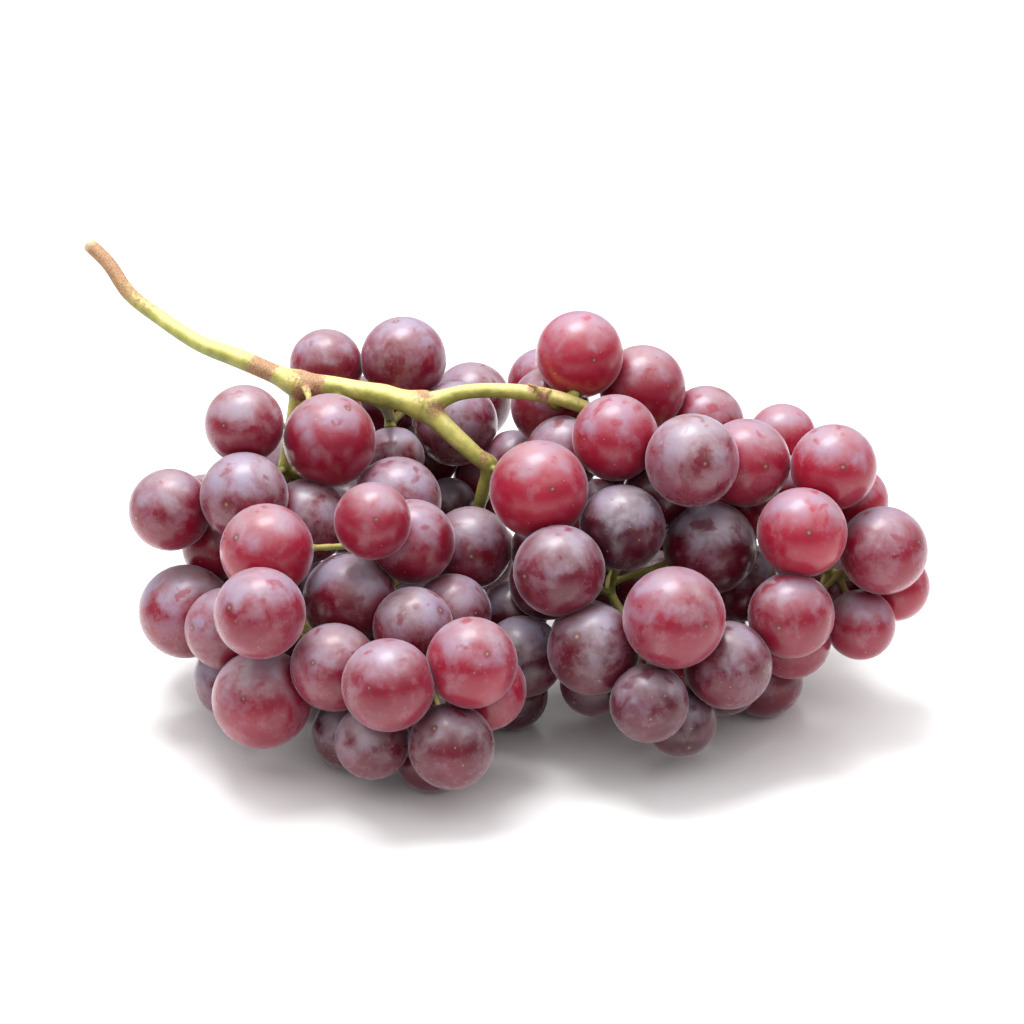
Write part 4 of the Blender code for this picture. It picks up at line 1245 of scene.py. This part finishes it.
def berry_skin():
    """Red to near-black skin under a pale waxy bloom that is rubbed off in places, painted paler on top and
    darker underneath and between berries.
    """
    skin = Nodes("berry_skin")
    spot = skin.read("spot", "Vector")
    bloom = skin.read("bloom")
    from_scar = skin.read("from_scar")
    wide = skin.noise(spot, *SKIN_WIDE)
    cloudy = skin.noise(spot, *SKIN_CLOUDY)
    mottled = skin.noise(spot, *SKIN_MOTTLED)
    grainy = skin.noise(spot, *SKIN_GRAINY)

    tone = skin.plus(skin.read("tone"), skin.swing(wide, TONE_CHANGE))
    tone = skin.plus(tone, skin.swing(mottled, TONE_MOTTLE))
    base = skin.colours(tone, SKIN_COLOURS)

    worn = skin.blend(cloudy, WORN_CLOUDY, mottled, WORN_MOTTLED)
    least = skin.minus(BLOOM_LEVEL, skin.times(bloom, BLOOM_SPAN))
    cover = skin.ramp(worn, least, skin.plus(least, BLOOM_EDGE))
    thick = skin.times(cover, skin.ramp(grainy, *BLOOM_GRAIN))
    thick = skin.times(thick, skin.ramp(bloom, *BLOOM_THICKNESS))
    thick = skin.times(thick, skin.ramp(from_scar, *BLOOM_AT_SCAR))
    # Painted light: less pale bloom underneath as painted shade, more on top
    upward = skin.read("upward")
    thick = skin.times(thick, skin.ramp(upward, *BLOOM_AND_PAINTED_LIGHT_FACING_UP))
    # Painted sheen: a pale film over the tops of the berries
    painted_top_sheen = skin.ramp(skin.plus(upward, skin.swing(cloudy, PAINTED_SHEEN_CLOUDY)), *PAINTED_TOP_SHEEN)
    thick = skin.plus(thick, skin.times(painted_top_sheen, skin.minus(1.0, thick)))
    thick = skin.times(thick, skin.ramp(skin.noise(spot, *MARKS_NOISE), *BLOOM_AT_MARKS))
    # Painted shade: less pale bloom where a berry comes near another
    thick = skin.times(thick, skin.ramp(skin.read("beside"), 0.0, BESIDE_REACH, BLOOM_LEFT_IN_PAINTED_SHADE, 1.0))
    colour = skin.mix(thick, base, skin.colours(wide, BLOOM_COLOURS))

    for scale, few, strength in PALE_SPOTS:
        distance = skin.cells(spot, scale, "Distance")
        chosen = skin.math("GREATER_THAN", skin.red_of(skin.cells(spot, scale, "Color")), few)
        pale = skin.times(skin.ramp(distance, *PALE_SPOT_EDGE, strength, 0.0), chosen)
        colour = skin.mix(pale, colour, PALE_SPOT)

    from_scar = skin.plus(from_scar, skin.swing(grainy, SCAR_UNEVEN))
    ring = skin.times(skin.ramp(from_scar, *RING_INSIDE), skin.ramp(from_scar, *RING_OUTSIDE))
    colour = skin.mix(ring, colour, SCAR_RING)
    colour = skin.mix(skin.ramp(from_scar, *SCAR_MIDDLE_EDGE), colour, SCAR_MIDDLE)
    colour = skin.mix(skin.ramp(skin.read("from_pedicel"), *COLLAR_EDGE), colour, COLLAR_COLOUR)

    skin.shader.subsurface_method = "RANDOM_WALK"
    skin.set_shader(SKIN_SHADER)
    skin.fill(skin.shader.inputs["Base Color"], colour)
    skin.fill(skin.shader.inputs["Roughness"], skin.ramp(thick, *SKIN_ROUGHNESS))
    skin.bump(skin.blend(grainy, 0.5, mottled, 0.5), *SKIN_RELIEF)
    return skin.material


def stem_bark():
    """Yellow-green stem, paler and redder where it faces up, the paler top and darker underside painted
    light, brown in patches, with a dry cut end.
    """
    bark = Nodes("stem_bark")
    spot = bark.read("spot", "Vector")
    upward = bark.read("upward")
    cloudy = bark.noise(spot, *BARK_CLOUDY)
    fine = bark.noise(spot, *BARK_FINE)
    grainy = bark.noise(spot, *BARK_GRAINY)
    # Painted light: the stem is paler where it faces up and darker olive below, varied by cloudy noise
    green = bark.colours(bark.blend(upward, PAINTED_HIGHLIGHT_UPWARD, cloudy, PALER_CLOUDY), STEM_COLOURS_AND_PAINTED_LIGHT)
    green = bark.mix(bark.times(bark.read("pedicel"), PEDICEL_GREEN_SHARE), green, PEDICEL_GREEN)
    green = bark.mix(bark.times(bark.ramp(fine, *DULL_EDGE), DULL_SHARE), green, STEM_DULL)
    blush = bark.times(bark.ramp(upward, *BLUSH_UPWARD), bark.ramp(cloudy, *BLUSH_CLOUDY))
    green = bark.mix(bark.times(blush, BLUSH_SHARE), green, STEM_BLUSH)
    patch = bark.ramp(bark.plus(bark.read("brown"), bark.swing(fine, BROWN_UNEVEN)), *BROWN_EDGE)
    rust = bark.colours(bark.ramp(grainy, *BROWN_GRAIN), BROWN_COLOURS)
    colour = bark.mix(bark.times(patch, BROWN_SHARE), green, rust)
    freckles = bark.cells(spot, FRECKLE_SCALE, "Distance")
    colour = bark.mix(bark.ramp(freckles, *FRECKLE_EDGE), colour, FRECKLE)
    colour = bark.mix(bark.ramp(bark.read("cut_end"), *CUT_EDGE), colour, CUT_COLOUR)
    bark.set_shader(BARK_SHADER)
    bark.fill(bark.shader.inputs["Base Color"], colour)
    bark.fill(bark.shader.inputs["Roughness"], bark.ramp(patch, *BARK_ROUGHNESS))
    bark.bump(bark.blend(fine, 0.6, grainy, 0.4), *BARK_RELIEF)
    return bark.material


def paper_white():
    """A smooth pale table top."""
    table = Nodes("paper_white")
    table.set_shader({"Base Color": FLOOR_COLOUR, "Roughness": FLOOR_ROUGHNESS})
    return table.material


def build_floor():
    corners = [(across * FLOOR_HALF, deep * FLOOR_HALF, 0)
               for across, deep in ((-1, -1), (1, -1), (1, 1), (-1, 1))]
    mesh = bpy.data.meshes.new("floor")
    mesh.from_pydata(corners, [], [(0, 1, 2, 3)])
    floor = into_scene("floor", mesh)
    floor.location.z = -FLOOR_DROP
    floor.data.materials.append(paper_white())


def build_lamp():
    """A soft lamp overhead."""
    light = bpy.data.lights.new("over", "AREA")
    light.shape = "RECTANGLE"
    light.size = LAMP_WIDTH
    light.size_y = LAMP_HEIGHT
    light.energy = LAMP_POWER
    lamp = into_scene("over", light)
    lamp.location = LAMP_PLACE
    way = Vector(LAMP_TARGET) - Vector(LAMP_PLACE)
    lamp.rotation_euler = way.to_track_quat("-Z", "Y").to_euler()


def build_surround():
    """White all round, and brightest overhead."""
    world = bpy.data.worlds.new("surround")
    world.use_nodes = True
    tree = world.node_tree
    parts = tree.nodes.new("ShaderNodeSeparateXYZ")
    tree.links.new(tree.nodes.new("ShaderNodeTexCoord").outputs["Generated"], parts.inputs[0])
    rise = tree.nodes.new("ShaderNodeMapRange")
    rise.interpolation_type = "SMOOTHSTEP"
    tree.links.new(parts.outputs["Z"], rise.inputs["Value"])
    for name, value in zip(("From Min", "From Max", "To Min", "To Max"), SURROUND_RISE):
        rise.inputs[name].default_value = value
    back = tree.nodes["Background"]
    back.inputs["Color"].default_value = (1.0, 1.0, 1.0, 1.0)
    tree.links.new(rise.outputs["Result"], back.inputs["Strength"])
    bpy.context.scene.world = world


def build_studio():
    """The camera where the eye is, a white surround, and a soft lamp."""
    lens = bpy.data.cameras.new("eye")
    lens.sensor_width = SENSOR
    lens.lens = SENSOR * EYE_DISTANCE / PICTURE_WIDTH
    eye = into_scene("eye", lens)
    eye.location = Vector(at_origin(AIM + EYE_DISTANCE * EYE_AXES[2]))
    eye.rotation_euler = (math.pi / 2 - EYE_TILT, 0, 0)
    bpy.context.scene.camera = eye
    build_surround()
    build_lamp()
    bpy.context.scene.view_settings.view_transform = "Standard"
    bpy.context.scene.view_settings.look = "None"


def main():
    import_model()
    centres, radii, lobe, paths, pedicels = lay_out()
    draw = np.random.default_rng(LOOKS_SEED)
    tones, blooms, scars = looks_of_berries(centres, pedicels, draw)
    bunch = (centres, radii, pedicels, scars)
    skin = berry_skin()
    for number, (node, _, _, _, _, _) in enumerate(LOBES):
        berries = build_berries(node + "_fine", np.where(lobe == number)[0], bunch, tones, blooms, draw)
        berries.data.materials.append(skin)
        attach(berries, "root")
        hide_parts(node)
    stem = build_stem(paths, centres, radii, pedicels, draw)
    stem.data.materials.clear()
    stem.data.materials.append(stem_bark())
    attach(stem, "root")
    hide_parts("stalk", "branches")
    build_floor()
    build_studio()


main()
